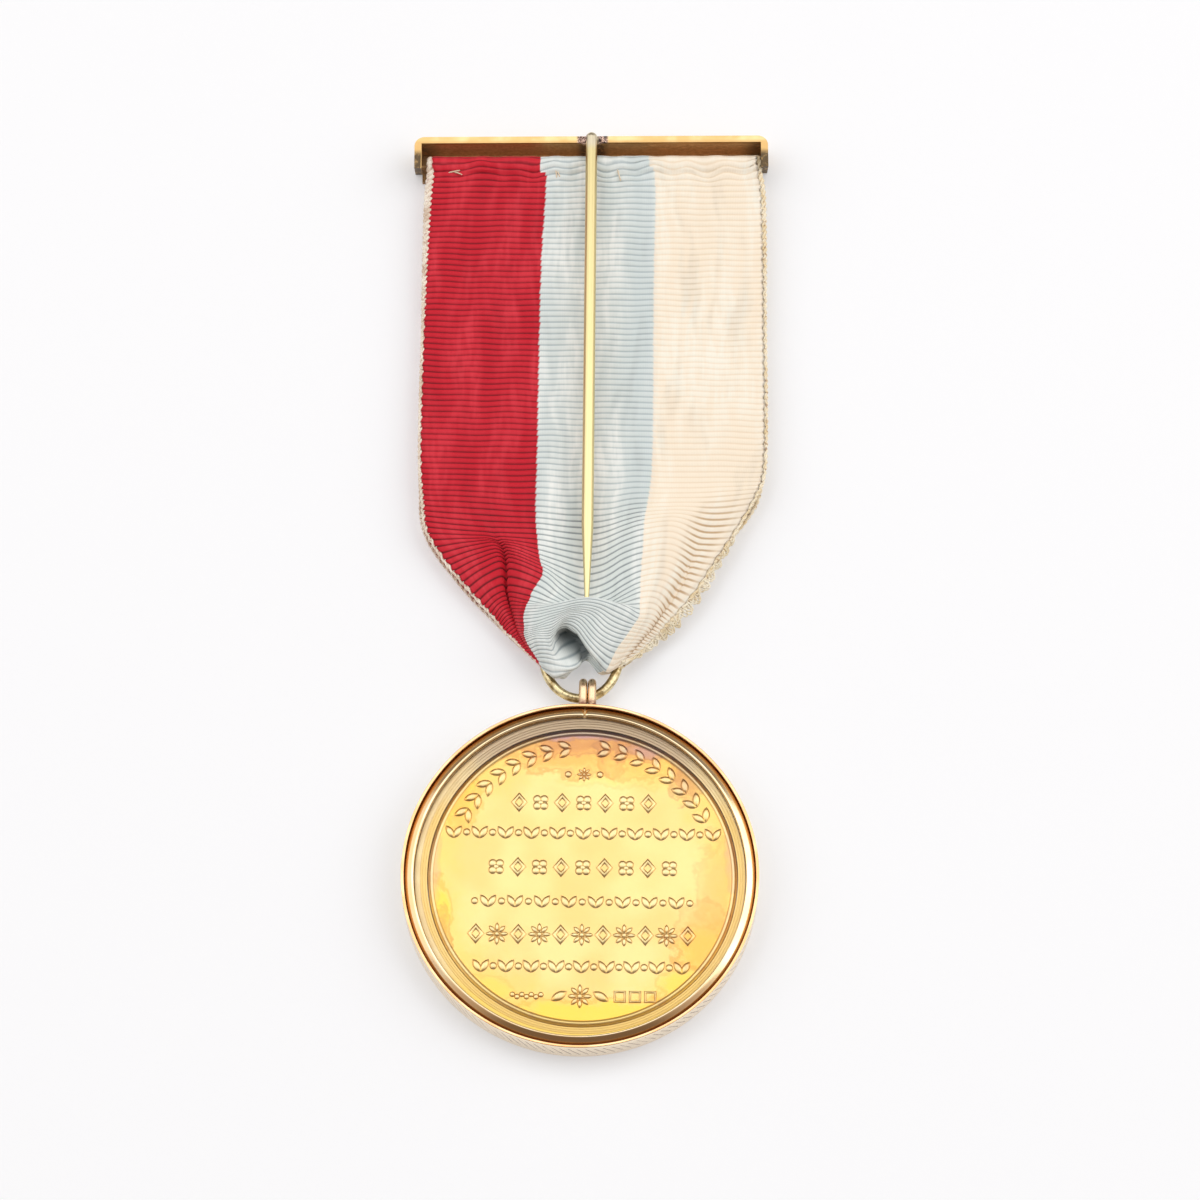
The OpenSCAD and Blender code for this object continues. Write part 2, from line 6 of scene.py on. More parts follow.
import bmesh
import bpy
import numpy as np
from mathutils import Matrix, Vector


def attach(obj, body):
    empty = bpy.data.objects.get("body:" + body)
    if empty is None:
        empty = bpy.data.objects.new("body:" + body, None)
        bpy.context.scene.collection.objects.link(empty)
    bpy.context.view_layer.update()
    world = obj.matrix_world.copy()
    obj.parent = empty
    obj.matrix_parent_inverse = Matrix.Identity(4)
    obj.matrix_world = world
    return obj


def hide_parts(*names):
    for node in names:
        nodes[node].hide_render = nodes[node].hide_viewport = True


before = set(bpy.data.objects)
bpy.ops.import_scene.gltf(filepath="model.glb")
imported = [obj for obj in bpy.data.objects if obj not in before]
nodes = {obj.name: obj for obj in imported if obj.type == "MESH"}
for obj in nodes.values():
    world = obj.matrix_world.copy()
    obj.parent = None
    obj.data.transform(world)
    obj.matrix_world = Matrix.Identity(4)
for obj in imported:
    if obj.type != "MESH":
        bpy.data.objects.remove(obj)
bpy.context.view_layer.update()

MM = 0.001

# Places on the lying jewel: the case's axis, radius and height, how far the disc sits to the right
# in it, the brooch bar's top edge, middle, length, depth and skew, and the pin's root
CASE_Y = -34.0
CASE_R = 19.0
CASE_H = 3.7
DISC_X = 0.28
BAR_Y = 52.75
BAR_X = -0.05
BAR_L = 39.9
BAR_D = 3.7
BAR_SKEW = math.radians(1.08)
PIN_X = 0.12


# Meshes

def unit(vectors):
    return vectors / np.linalg.norm(vectors, axis=-1, keepdims=True)


def joined(parts):
    """Several (points, faces) pairs as one."""
    points, faces, start = [], [], 0
    for part_points, part_faces in parts:
        points.append(part_points)
        faces += [[i + start for i in face] for face in part_faces]
        start += len(part_points)
    return np.concatenate(points), faces


def linked(name, mesh):
    """The mesh as an object of the scene that belongs to the jewel."""
    piece = bpy.data.objects.new(name, mesh)
    bpy.context.collection.objects.link(piece)
    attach(piece, "root")
    return piece


def new_piece(name, parts, finish):
    """A smooth object from (points, faces) pairs in millimetres."""
    points, faces = joined(parts)
    mesh = bpy.data.meshes.new(name)
    mesh.from_pydata((points * MM).tolist(), [], faces)
    mesh.polygons.foreach_set("use_smooth", [True] * len(mesh.polygons))
    mesh.materials.append(finish)
    mesh.update()
    return linked(name, mesh)


def grid_faces(rows, width, closed_rows=True, closed_width=True):
    """Faces of a grid of points, which may close on itself in either direction."""
    row = np.arange(rows if closed_rows else rows - 1)[:, None]
    column = np.arange(width if closed_width else width - 1)[None, :]
    here, there, after = row * width, (row + 1) % rows * width, (column + 1) % width
    corners = [here + column, there + column, there + after, here + after]
    return np.stack(corners, axis=-1).reshape(-1, 4)


# The corners of a face in the order that turns it over
OTHER_WAY = [0, 3, 2, 1]
# A direction that no thread or wire runs along, from which the sides of a tube are counted
TUBE_SIDE = [0.13, 0.21, 0.97]
# Steps of a full turn round the case's axis
TURN_STEPS = 360
# A rounded corner takes at most this share of its shorter side
CORNER_SHARE = 0.45


def tube(path, radius, sides=6, closed=False):
    """Points and faces of a round thread along a path, with caps on an open one."""
    path = np.asarray(path, float)
    count = len(path)
    radius = np.broadcast_to(np.asarray(radius, float), (count,))
    ahead = np.roll(path, -1, 0) - np.roll(path, 1, 0)
    if not closed:
        ahead[0], ahead[-1] = path[1] - path[0], path[-1] - path[-2]
    ahead = unit(ahead)
    side = unit(np.cross(ahead, TUBE_SIDE))
    over = np.cross(ahead, side)
    turns = np.arange(sides) * 2 * math.pi / sides
    ring = np.cos(turns)[None, :, None] * side[:, None] + np.sin(turns)[None, :, None] * over[:, None]
    points = (path[:, None] + ring * radius[:, None, None]).reshape(-1, 3)
    faces = grid_faces(count, sides, closed)[:, OTHER_WAY].tolist()
    if not closed:
        points = np.concatenate([points, path[:1], path[-1:]])
        first, last, end = count * sides, count * sides + 1, (count - 1) * sides
        for k in range(sides):
            after = (k + 1) % sides
            faces += [[first, after, k], [last, end + k, end + after]]
    return points, faces


def eased(outline, radius, steps=4):
    """A closed outline with its corners rounded off; columns after the second are kept."""
    outline = np.asarray(outline, float)
    points = []
    for i, corner in enumerate(outline):
        ways = [outline[i - 1] - corner, outline[(i + 1) % len(outline)] - corner]
        lengths = [np.linalg.norm(way[:2]) for way in ways]
        reach = min(radius, min(lengths) * CORNER_SHARE)
        start, end = [corner + way * reach / length for way, length in zip(ways, lengths)]
        for t in np.linspace(0, 1, steps):
            points.append((1 - t) ** 2 * start + 2 * t * (1 - t) * corner + t ** 2 * end)
    return np.array(points)


def turned(outline, split=0.0):
    """A ring or a disc turned about the case's axis, from an outline of radius, height and how
    far the axis is shifted. The outline runs anticlockwise, and a split leaves the ring open at
    the top by that angle. An outline that starts and ends on the axis gives a disc."""
    outline = np.asarray(outline, float)
    if outline.shape[1] == 2:
        outline = np.column_stack([outline, np.zeros(len(outline))])
    is_disc = outline[0, 0] == 0
    rim = outline[1:-1] if is_disc else outline
    count, turns = len(rim), TURN_STEPS + (1 if split else 0)
    angle = math.pi / 2 + split / 2 + np.arange(turns) * (2 * math.pi - split) / TURN_STEPS
    around = np.stack([np.cos(angle), np.sin(angle)], axis=1)
    flat = rim[None, :, :1] * around[:, None] + np.stack([rim[:, 2], rim[:, 2] * 0 + CASE_Y], axis=1)
    high = np.broadcast_to(rim[None, :, 1:2], (*flat.shape[:2], 1))
    points = np.concatenate([flat, high], axis=2).reshape(-1, 3)
    faces = grid_faces(turns, count, not split, not is_disc).tolist()
    if split:
        faces += [list(range(count))[::-1], [TURN_STEPS * count + k for k in range(count)]]
    if is_disc:
        under, over, outer = len(points), len(points) + 1, count - 1
        points = np.concatenate([points, [[x, CASE_Y, z] for _, z, x in outline[[0, -1]]]])
        for i in range(TURN_STEPS):
            here, there = i * count, (i + 1) % turns * count
            faces += [[under, there, here], [over, here + outer, there + outer]]
    return points, faces


# Finishes

class Wire:
    """A socket in a material, so that shader maths is written as Python expressions."""

    def __init__(self, finish, socket):
        self.finish = finish
        self.socket = socket

    def math(self, operation, *others):
        return self.finish.add("ShaderNodeMath", dict(enumerate((self, *others))), operation=operation)

    def __add__(self, other):
        return self.math("ADD", other)

    def __mul__(self, other):
        return self.math("MULTIPLY", other)

    __radd__ = __add__
    __rmul__ = __mul__

    def __sub__(self, other):
        return self.math("SUBTRACT", other)

    def __rsub__(self, other):
        return self.finish.value("SUBTRACT", other, self)

    def __truediv__(self, other):
        return self.math("DIVIDE", other)

    def __pow__(self, other):
        return self.math("POWER", other)

    def __abs__(self):
        return self.math("ABSOLUTE")

    def sin(self):
        return self.math("SINE")

    def frac(self):
        return self.math("FRACT")

    def floor(self):
        return self.math("FLOOR")

    def least(self, other):
        return self.math("MINIMUM", other)

    def most(self, other):
        return self.math("MAXIMUM", other)

    def step(self, low, high):
        """0 below low, 1 above high and smooth between them; low may be the larger."""
        return self.finish.add(
            "ShaderNodeMapRange", {"Value": self, "From Min": low, "From Max": high},
            interpolation_type="SMOOTHSTEP", clamp=True)


class Finish:
    """A material that is being built."""

    def __init__(self, name, tree=None):
        if tree is None:
            self.material = bpy.data.materials.new(name)
            self.material.use_nodes = True
            tree = self.material.node_tree
        self.tree = tree
        self.tree.nodes.clear()

    def add(self, kind, inputs=None, out=0, **settings):
        """Adds a node: settings first, then the values or links of its sockets."""
        node = self.tree.nodes.new(kind)
        for key, value in settings.items():
            setattr(node, key, value)
        for key, value in (inputs or {}).items():
            socket = node.inputs[key]
            if isinstance(value, Wire):
                self.tree.links.new(value.socket, socket)
            elif socket.type == "RGBA":
                socket.default_value = (*value[:3], 1)
            else:
                socket.default_value = value
        return Wire(self, node.outputs[out])

    def value(self, operation, *terms):
        return self.add("ShaderNodeMath", dict(enumerate(terms)), operation=operation)

    def mix(self, share, low, high):
        """A colour between two colours."""
        return self.add("ShaderNodeMix", {0: share, 6: low, 7: high}, out=2, data_type="RGBA")

    def layers(self, colour, *layers):
        """A colour with others laid over it one by one, each as a share and a colour."""
        for share, over in layers:
            colour = self.mix(share, colour, over)
        return colour

    def times(self, colour, factor):
        """A colour made lighter or darker."""
        return self.add("ShaderNodeVectorMath", {0: colour, "Scale": factor}, operation="SCALE")

    def parts(self, vector):
        split = self.add("ShaderNodeSeparateXYZ", {0: vector}).socket.node
        return [Wire(self, socket) for socket in split.outputs]

    def place(self):
        """Where a point of the surface is, in millimetres."""
        spot = self.add("ShaderNodeTexCoord", out="Object")
        return self.add("ShaderNodeVectorMath", {0: spot, "Scale": 1 / MM}, operation="SCALE")

    def vector(self, x, y, z=0.0):
        return self.add("ShaderNodeCombineXYZ", {0: x, 1: y, 2: z})

    def noise(self, vector, scale=1.0, detail=2.0, rough=0.5):
        return self.add("ShaderNodeTexNoise", {"Vector": vector, "Scale": scale, "Detail": detail,
                                               "Roughness": rough})

    def bump(self, height, distance, strength=1.0):
        return self.add("ShaderNodeBump", {"Height": height, "Distance": distance * MM,
                                           "Strength": strength})

    def surface(self, **inputs):
        """The Principled surface, with its sockets named in Python's manner."""
        named = {key.replace("_", " ").title().replace("Ior", "IOR"): value
                 for key, value in inputs.items()}
        shader = self.add("ShaderNodeBsdfPrincipled", named)
        self.add_output(shader)
        return self.material

    def add_output(self, shader, kind="ShaderNodeOutputMaterial"):
        out = self.tree.nodes.new(kind)
        self.tree.links.new(shader.socket, out.inputs["Surface"])


def rgb(red, green, blue):
    """An sRGB colour, 0 to 255, as linear values."""
    return tuple(c / 12.92 if c <= 0.04045 else ((c + 0.055) / 1.055) ** 2.4
                 for c in (red / 255, green / 255, blue / 255))


# Ribbon shape. The guides that run along it: left selvedge, red middle, red crease, red border,
# left lobe, its crest, its rolled edge, under that edge, the hollow, under the right edge, the
# right lobe's rolled edge, its crest, cream border, cream shoulder, cream crease, right selvedge.
GUIDE_SHARE = [0, 0.10, 0.19, 0.333, 0.40, 0.435, 0.465, 0.49, 0.515, 0.545, 0.575, 0.61, 0.667,
               0.78, 0.88, 1]

# The straight part, from the rod down: where the edges and the middle of the row cross, its left
# and right end, height of its edges and of its middle, share of the bar's skew
STRAIGHT_ROWS = [
    [49.7, 49.7, -17.9, 18.7, 2.98, 2.98, 1.0],
    [48.6, 48.6, -17.8, 18.8, 2.72, 2.72, 1.0],
    [46.0, 46.0, -18.0, 19.2, 2.45, 2.35, 0.9],
    [39.0, 39.0, -18.2, 19.4, 2.15, 2.00, 0.6],
    [29.0, 29.0, -18.3, 19.5, 2.10, 1.95, 0.3],
    [19.0, 19.0, -18.3, 19.6, 2.20, 2.10, 0.1],
    [12.5, 12.5, -18.15, 19.4, 2.30, 2.25, 0.0],
]

# The gathered part, a row for each section and a column for each guide. The rows are: above the
# break, break, crease, border's corner, dive under the cowl, cowl's wall, its ridge, two below the
# ridge, the hollow's top, the right flap's rolled edge, under that edge, the hollow's lower rim, the
# lobes' ends, down the ring's inner side, inside the ring, back under it. The tables hold how much
# of its thickness the cloth keeps, then the guides' places to the right of the origin, below it
# towards the disc, and over the surface.
GATHER_SQUEEZE = [1, 1, 1, 1, 1, 1, 1, 1, 0.95, 0.9, 0.85, 0.75, 0.7, 0.6, 0.55, 0.5, 0.6]
GATHER_X = [
    [-17.8, -14.6, -10.9, -5.6, -3.15, -1.9, -0.8, 0.1, 1.05, 2.1, 3.25, 4.5, 6.6, 11.0, 14.6, 18.4],
    [-17.3, -13.8, -9.9, -5.3, -2.95, -1.75, -0.7, 0.2, 1.05, 2.1, 3.15, 4.4, 6.4, 9.8, 12.8, 16.1],
    [-15.4, -12.2, -9.0, -5.0, -2.85, -1.7, -0.7, 0.2, 1.05, 2.1, 3.1, 4.3, 6.3, 9.2, 11.6, 14.0],
    [-13.2, -11.0, -8.6, -4.6, -2.8, -1.7, -0.7, 0.1, 1.0, 2.0, 3.0, 4.2, 6.1, 8.6, 10.4, 12.1],
    [-11.3, -9.9, -8.5, -5.6, -3.6, -2.3, -1.1, -0.1, 0.9, 2.0, 3.1, 4.4, 6.1, 7.9, 9.1, 10.2],
    [-10.5, -9.4, -8.3, -5.9, -4.0, -2.6, -1.3, -0.2, 0.9, 2.1, 3.3, 4.6, 6.0, 7.5, 8.5, 9.5],
    [-9.6, -8.9, -8.0, -6.2, -4.6, -3.1, -1.7, -0.4, 0.8, 2.1, 3.5, 4.8, 5.9, 7.1, 7.9, 8.7],
    [-8.9, -8.3, -7.6, -6.4, -4.9, -3.7, -2.4, -1.1, 0.2, 1.6, 3.0, 4.2, 5.2, 6.3, 7.1, 7.9],
    [-8.4, -7.8, -7.3, -6.3, -5.0, -4.0, -3.0, -1.9, -0.6, 0.8, 2.2, 3.4, 4.5, 5.6, 6.4, 7.2],
    [-7.5, -7.1, -6.8, -6.3, -5.1, -4.3, -3.5, -2.5, -1.5, -0.3, 1.2, 2.4, 3.5, 4.6, 5.5, 6.3],
    [-6.95, -6.6, -6.3, -6.0, -5.1, -4.3, -3.7, -2.95, -1.9, -0.7, 0.35, 1.5, 2.5, 3.3, 4.0, 5.1],
    [-6.4, -6.1, -5.8, -5.4, -4.8, -4.0, -3.45, -3.0, -1.8, -0.3, 0.9, 1.9, 2.7, 3.4, 3.95, 4.6],
    [-5.75, -5.5, -5.25, -4.8, -4.4, -3.6, -2.75, -1.65, -0.7, -0.1, 0.9, 1.8, 2.5, 3.2, 3.7, 4.2],
    [-4.9, -4.75, -4.6, -4.3, -3.8, -3.2, -2.4, -1.5, -0.6, 0.0, 0.9, 1.7, 2.3, 3.0, 3.5, 4.0],
    [-3.6, -3.5, -3.4, -3.1, -2.9, -2.6, -2.1, -1.4, -0.7, -0.1, 0.7, 1.5, 2.1, 2.6, 2.9, 3.15],
    [-3.05, -2.90, -2.75, -2.45, -2.2, -1.95, -1.6, -1.15, -0.55, 0.0, 0.6, 1.2, 1.65, 2.0, 2.3, 2.5],
    [-4.1, -3.9, -3.6, -3.1, -2.5, -2.0, -1.5, -1.0, -0.4, 0.2, 0.9, 1.6, 2.2, 3.0, 3.5, 4.0],
]
GATHER_DOWN = [
    [-8.9, -8.7, -8.5, -8.2, -8.1, -8.0, -8.0, -8.0, -8.0, -8.1, -8.2, -8.4, -8.6, -8.7, -9.0, -9.5],
    [-5.4, -5.0, -4.7, -4.5, -4.2, -4.05, -3.95, -3.9, -3.95, -4.2, -4.6, -5.1, -5.7, -6.0, -5.1, -5.3],
    [-2.1, -3.0, -3.4, -1.8, -1.1, -0.7, -0.45, -0.4, -0.5, -0.8, -1.3, -2.0, -2.7, -3.0, -2.2, -1.9],
    [0.6, -0.7, -1.7, 0.4, 1.8, 2.5, 2.9, 3.0, 2.9, 2.6, 2.2, 1.4, 0.4, 0.0, 0.7, 1.2],
    [2.8, 1.8, 1.2, 2.4, 3.3, 3.75, 3.95, 4.0, 3.98, 3.9, 3.7, 3.15, 2.4, 2.3, 3.0, 3.7],
    [3.7, 2.8, 2.3, 3.5, 4.1, 4.2, 4.05, 4.0, 4.0, 4.0, 4.1, 4.0, 3.7, 3.4, 3.9, 4.5],
    [4.7, 3.8, 3.5, 4.3, 4.5, 4.3, 4.0, 3.75, 3.65, 3.85, 4.2, 4.7, 5.2, 4.9, 5.0, 5.4],
    [5.6, 4.9, 4.7, 5.4, 5.6, 5.3, 4.95, 4.5, 4.45, 4.8, 5.7, 6.2, 6.4, 6.3, 6.3, 6.4],
    [6.3, 5.8, 5.7, 6.4, 6.6, 6.2, 5.75, 5.1, 4.95, 5.35, 6.7, 7.3, 7.5, 7.3, 7.1, 7.1],
    [7.1, 6.9, 6.8, 7.2, 7.3, 7.2, 6.9, 5.85, 5.5, 5.95, 7.7, 8.6, 9.0, 8.7, 8.3, 8.2],
    [7.8, 7.7, 7.7, 8.0, 8.1, 8.15, 7.9, 6.5, 6.15, 6.9, 8.5, 10.0, 11.1, 10.7, 10.1, 9.4],
    [8.5, 8.5, 8.6, 9.0, 9.1, 9.15, 9.0, 6.9, 5.9, 6.3, 7.9, 9.2, 10.3, 10.2, 9.95, 9.8],
    [9.3, 9.4, 9.5, 9.9, 10.2, 10.4, 10.5, 10.5, 9.9, 8.6, 8.5, 9.4, 10.3, 10.25, 10.1, 10.0],
    [10.1, 10.2, 10.3, 10.8, 11.3, 11.7, 11.5, 11.0, 10.3, 9.2, 9.1, 9.9, 10.6, 10.5, 10.3, 10.2],
    [10.6, 10.65, 10.7, 11.0, 11.35, 11.5, 11.2, 10.6, 9.8, 9.1, 9.2, 10.1, 10.8, 10.8, 10.75, 10.7],
    [10.6, 10.65, 10.7, 10.85, 11.15, 11.2, 10.8, 10.2, 9.5, 9.0, 9.2, 10.0, 10.7, 10.75, 10.7, 10.7],
    [10.0, 10.0, 10.05, 10.3, 10.6, 10.5, 10.0, 9.4, 8.9, 8.7, 8.9, 9.6, 10.1, 10.05, 9.9, 9.85],
]
GATHER_Z = [
    [2.30, 2.40, 2.50, 2.60, 2.50, 2.40, 2.35, 2.35, 2.40, 2.45, 2.55, 2.65, 2.80, 2.90, 2.60, 2.40],
    [2.30, 2.60, 2.85, 2.90, 2.75, 2.62, 2.52, 2.50, 2.52, 2.62, 2.78, 3.00, 3.30, 3.40, 2.60, 2.30],
    [2.20, 2.75, 2.95, 3.30, 3.05, 2.85, 2.70, 2.65, 2.68, 2.78, 3.00, 3.25, 3.50, 3.55, 2.60, 2.25],
    [2.10, 2.80, 2.60, 3.90, 3.50, 3.15, 2.90, 2.85, 2.88, 3.00, 3.20, 3.45, 3.65, 3.60, 2.55, 2.20],
    [2.05, 2.80, 2.50, 4.00, 3.80, 3.55, 3.35, 3.25, 3.27, 3.35, 3.50, 3.70, 3.85, 3.70, 2.55, 2.15],
    [2.05, 2.75, 2.50, 4.10, 4.40, 4.35, 4.30, 4.30, 4.30, 4.30, 4.35, 4.35, 4.20, 3.80, 2.60, 2.15],
    [2.05, 2.65, 2.50, 4.20, 4.85, 5.10, 5.25, 5.30, 5.30, 5.30, 5.20, 4.95, 4.50, 3.85, 2.70, 2.15],
    [2.00, 2.45, 2.40, 4.10, 4.95, 5.15, 5.25, 5.25, 5.22, 5.15, 5.00, 4.80, 4.45, 3.80, 2.80, 2.15],
    [2.00, 2.35, 2.40, 3.90, 4.95, 5.10, 5.10, 5.05, 5.00, 4.95, 4.85, 4.65, 4.35, 3.70, 2.90, 2.20],
    [2.10, 2.30, 2.50, 3.75, 4.85, 5.00, 4.90, 4.75, 4.70, 4.65, 4.60, 4.45, 4.15, 3.60, 3.00, 2.40],
    [2.35, 2.55, 2.70, 3.60, 4.75, 4.85, 4.5, 3.9, 3.8, 4.0, 4.05, 3.85, 3.45, 3.25, 3.05, 2.65],
    [2.60, 2.80, 3.00, 3.45, 4.40, 4.50, 4.0, 2.3, 1.6, 1.9, 2.6, 2.90, 2.95, 3.00, 3.00, 2.90],
    [2.85, 2.95, 3.05, 3.30, 3.85, 3.9, 3.55, 3.2, 2.7, 1.7, 1.80, 2.40, 2.70, 2.95, 3.00, 3.00],
    [3.05, 3.05, 3.05, 3.05, 3.10, 3.10, 3.00, 2.80, 2.40, 1.65, 1.75, 2.10, 2.45, 2.80, 2.90, 2.90],
    [2.60, 2.60, 2.55, 2.45, 2.30, 2.25, 2.15, 2.00, 1.80, 1.50, 1.60, 1.90, 2.20, 2.45, 2.50, 2.55],
    [1.80, 1.80, 1.80, 1.75, 1.65, 1.60, 1.55, 1.50, 1.35, 1.30, 1.35, 1.50, 1.70, 1.80, 1.80, 1.80],
    [0.55] * len(GUIDE_SHARE),
]

# How the ribs crowd together where the cloth is pushed up, against the gathered rows
CROWD_ROWS = [4.5, 6.0, 12.5, 14.0, 17.0]
CROWD = [1.0, 1.7, 1.7, 1.3, 1.0]

# Sharp creases: where on the width, half their width, depth, and the first and last gathered row
CREASES = [
    [0.190, 0.020, 1.35, 0.8, 11.0],
    [0.880, 0.030, 0.55, 1.0, 10.5],
]
# Rows over which a crease deepens, and over which it fades
CREASE_IN = 2
CREASE_OUT = 3

# The front layer, from the ring back up to the rod, with the straight part's columns
FRONT_ROWS = [
    [-5.8, -6.6, -8.5, 8.3, 0.55, 0.55, 0.0],
    [-0.6, -1.4, -13.3, 12.3, 0.55, 0.55, 0.0],
    [5.2, 4.6, -17.3, 15.8, 0.55, 0.55, 0.0],
    [11.0, 11.0, -18.1, 19.0, 0.55, 0.55, 0.0],
    [22.0, 22.0, -18.2, 19.4, 0.55, 0.55, 0.2],
    [37.0, 37.0, -18.2, 19.4, 0.55, 0.55, 0.6],
    [45.0, 45.0, -18.0, 19.1, 0.58, 0.58, 0.9],
    [47.4, 47.4, -17.9, 18.9, 1.02, 1.02, 1.0],
    [48.7, 48.7, -17.9, 18.8, 1.18, 1.18, 1.0],
    [49.7, 49.7, -17.9, 18.7, 1.18, 1.18, 1.0],
]
# The fold round the rod, in degrees from straight up
FOLD_TURNS = [150, 120, 90, 60, 30]
FOLD_R = 0.9
FOLD_EDGES = [-17.9, 18.7]
ROD_Y = 49.7
ROD_Z = 2.08

RIBBON_WIDTH = 38.1
RIB_PITCH = 0.69
CLOTH_T = 0.42
RIB_HEIGHT = 0.13
# How far the edges swell out at every second rib
SCALLOP = 0.10
# About how far apart two columns are, as a share of the width, the fewest steps between two
# guides, and the steps between two sections
COLUMN_STEP = 0.0155
FEWEST_STEPS = 3
FINE_STEPS = 40


def mix(low, high, share):
    return low + (high - low) * share


def plain_section(edge_y, middle_y, left, right, edge_z, middle_z, skew):
    """The guides' points on a section without folds."""
    share = np.array(GUIDE_SHARE)
    bow = 1 - (2 * share - 1) ** 2
    x = mix(left, right, share)
    y = mix(edge_y, middle_y, bow) + skew * x * math.tan(BAR_SKEW)
    return np.stack([x, y, mix(edge_z, middle_z, bow)], axis=1)


def ribbon_sections():
    """The guides' points on each section: straight part, gathered part, front layer and fold."""
    gather = [np.stack([x, np.negative(down), z], axis=1)
              for x, down, z in zip(GATHER_X, GATHER_DOWN, GATHER_Z)]
    fold = []
    for turn in np.radians(FOLD_TURNS):
        y, z = ROD_Y + FOLD_R * math.sin(turn), ROD_Z + FOLD_R * math.cos(turn)
        fold.append([y, y, *FOLD_EDGES, z, z, 1])
    straight = [plain_section(*row) for row in STRAIGHT_ROWS]
    return np.array(straight + gather + [plain_section(*row) for row in FRONT_ROWS + fold])


def spline(a, b, c, d, t):
    """A smooth curve through four values in a row, between the middle two."""
    return b + t * ((c - a) / 2 + t * ((2 * a - 5 * b + 4 * c - d) / 2 + t * (3 * b - 3 * c + d - a) / 2))


def fine_columns(sections):
    """Each section with more columns, and the share of the width at which each column runs."""
    last = sections.shape[1] - 1
    columns, shares = [], []
    for g in range(last):
        low, high = GUIDE_SHARE[g:g + 2]
        steps = max(FEWEST_STEPS, round((high - low) / COLUMN_STEP))
        for k in range(steps):
            columns.append(spline(sections[:, max(g - 1, 0)], sections[:, g], sections[:, g + 1],
                                  sections[:, min(g + 2, last)], k / steps))
            shares.append(mix(low, high, k / steps))
    columns.append(sections[:, last])
    shares.append(1.0)
    return np.stack(columns, axis=1), np.array(shares)


def creased(columns, shares):
    """The sections with their sharp creases pressed in."""
    columns = columns.copy()
    row = np.arange(len(columns))[:, None] - len(STRAIGHT_ROWS)
    for at, half_width, depth, first, last in CREASES:
        across = np.clip(1 - abs(shares[None, :] - at) / half_width, 0, 1)
        along = np.clip((row - first) / CREASE_IN, 0, 1) * np.clip((last - row) / CREASE_OUT, 0, 1)
        columns[..., 2] -= depth * across * along
    return columns


def fine_rows(columns):
    """The closed loop in fine steps, and the number of sections before each row."""
    steps = (np.arange(FINE_STEPS) / FINE_STEPS)[None, :, None, None]
    before, here = np.roll(columns, 1, 0)[:, None], columns[:, None]
    after, beyond = np.roll(columns, -1, 0)[:, None], np.roll(columns, -2, 0)[:, None]
    rows = spline(before, here, after, beyond, steps)
    return rows.reshape(-1, *columns.shape[1:]), np.arange(len(columns) * FINE_STEPS) / FINE_STEPS


# The loop in fine steps, and how far along it each of its rows lies
columns, column_share = fine_columns(ribbon_sections())
columns = creased(columns, column_share)
loop, loop_section = fine_rows(columns)
step_length = np.linalg.norm(np.roll(loop, -1, 0) - loop, axis=2).mean(axis=1)
run = np.concatenate([[0], np.cumsum(step_length)])
LOOP_LENGTH = float(run[-1])


def crowd_at(section):
    """How many times closer than in the straight part the ribs lie, at a place along the loop."""
    return np.interp(section - len(STRAIGHT_ROWS), CROWD_ROWS, CROWD)


# The same along the cloth itself, which lies crowded in the gather
cloth_run = np.concatenate([[0], np.cumsum(step_length * crowd_at(loop_section))])
CLOTH_LENGTH = float(cloth_run[-1])
RIBS = round(CLOTH_LENGTH / RIB_PITCH)


def squeeze_at(section):
    """How much of its thickness the cloth keeps at a place along the loop."""
    table = np.ones(len(columns) + 1)
    start = len(STRAIGHT_ROWS)
    table[start:start + len(GATHER_SQUEEZE)] = GATHER_SQUEEZE
    return np.interp(section, np.arange(len(table)), table)


def row_at(length):
    """How many fine rows lie before a place along the loop."""
    return np.interp(length % LOOP_LENGTH, run, np.arange(len(run)))


def section_at(length):
    """How many sections lie before a place along the loop."""
    return row_at(length) / FINE_STEPS


def from_rod(length):
    """Distance along the loop from the rod, which is negative on the front layer's side."""
    return np.where(length > LOOP_LENGTH / 2, length - LOOP_LENGTH, length)


def on_loop(length, column):
    """Points of the middle surface, at distances along the loop and in columns of the same shape."""
    row = row_at(length)
    low = np.floor(row).astype(int)
    part = (row - low)[..., None]
    return mix(loop[low % len(loop), column], loop[(low + 1) % len(loop), column], part)


def heading(length, column, reach=0.5):
    """The way along the loop, from a little before a place to a little after it."""
    return on_loop(length + reach, column) - on_loop(length - reach, column)


# Where the stitch row and the end of the straight part are, as distances along the loop
STITCH_AT = 0.95
GATHER_FROM = 41.0
# How far along the ribbon the stitches pull the ribs aside, and lift and sink the cloth
PULL_REACH = 1.2
PUCKER_REACH = 1.8
# The turned-in edge above the stitches: how proud it stands, how wide its step at the stitches is,
# and over what length behind the rod it runs out
SEAM_LIFT = 0.16
SEAM_STEP = 0.24
SEAM_END = 1.5
# Where on each rib a row of points runs, from groove to groove
RIB_PHASES = [0.0, 0.16, 0.38, 0.62, 0.84]


def waver(length, share):
    """How far a rib strays along the ribbon: slow waves of the watering, which fade where the
    gather starts, and the pull of the stitches."""
    x = share * RIBBON_WIDTH
    near = from_rod(length)
    water = 0.07 * np.sin(x * 0.8 + 0.6 * np.sin(length * 0.21)) * np.sin(length * 0.31 + x * 0.21)
    water = water + 0.03 * np.sin(x * 1.25 + length * 0.17)
    water = water * np.clip((GATHER_FROM - near) / 4 + 1, 0.25, 1)
    pull = 0.22 * np.sin(x * 0.62 + 0.8) + 0.21 * np.sin(x * 1.55 + 2.0) * np.clip(x / 18, 0.3, 1.3)
    return water + pull * np.exp(-((near - STITCH_AT) / PULL_REACH) ** 2)


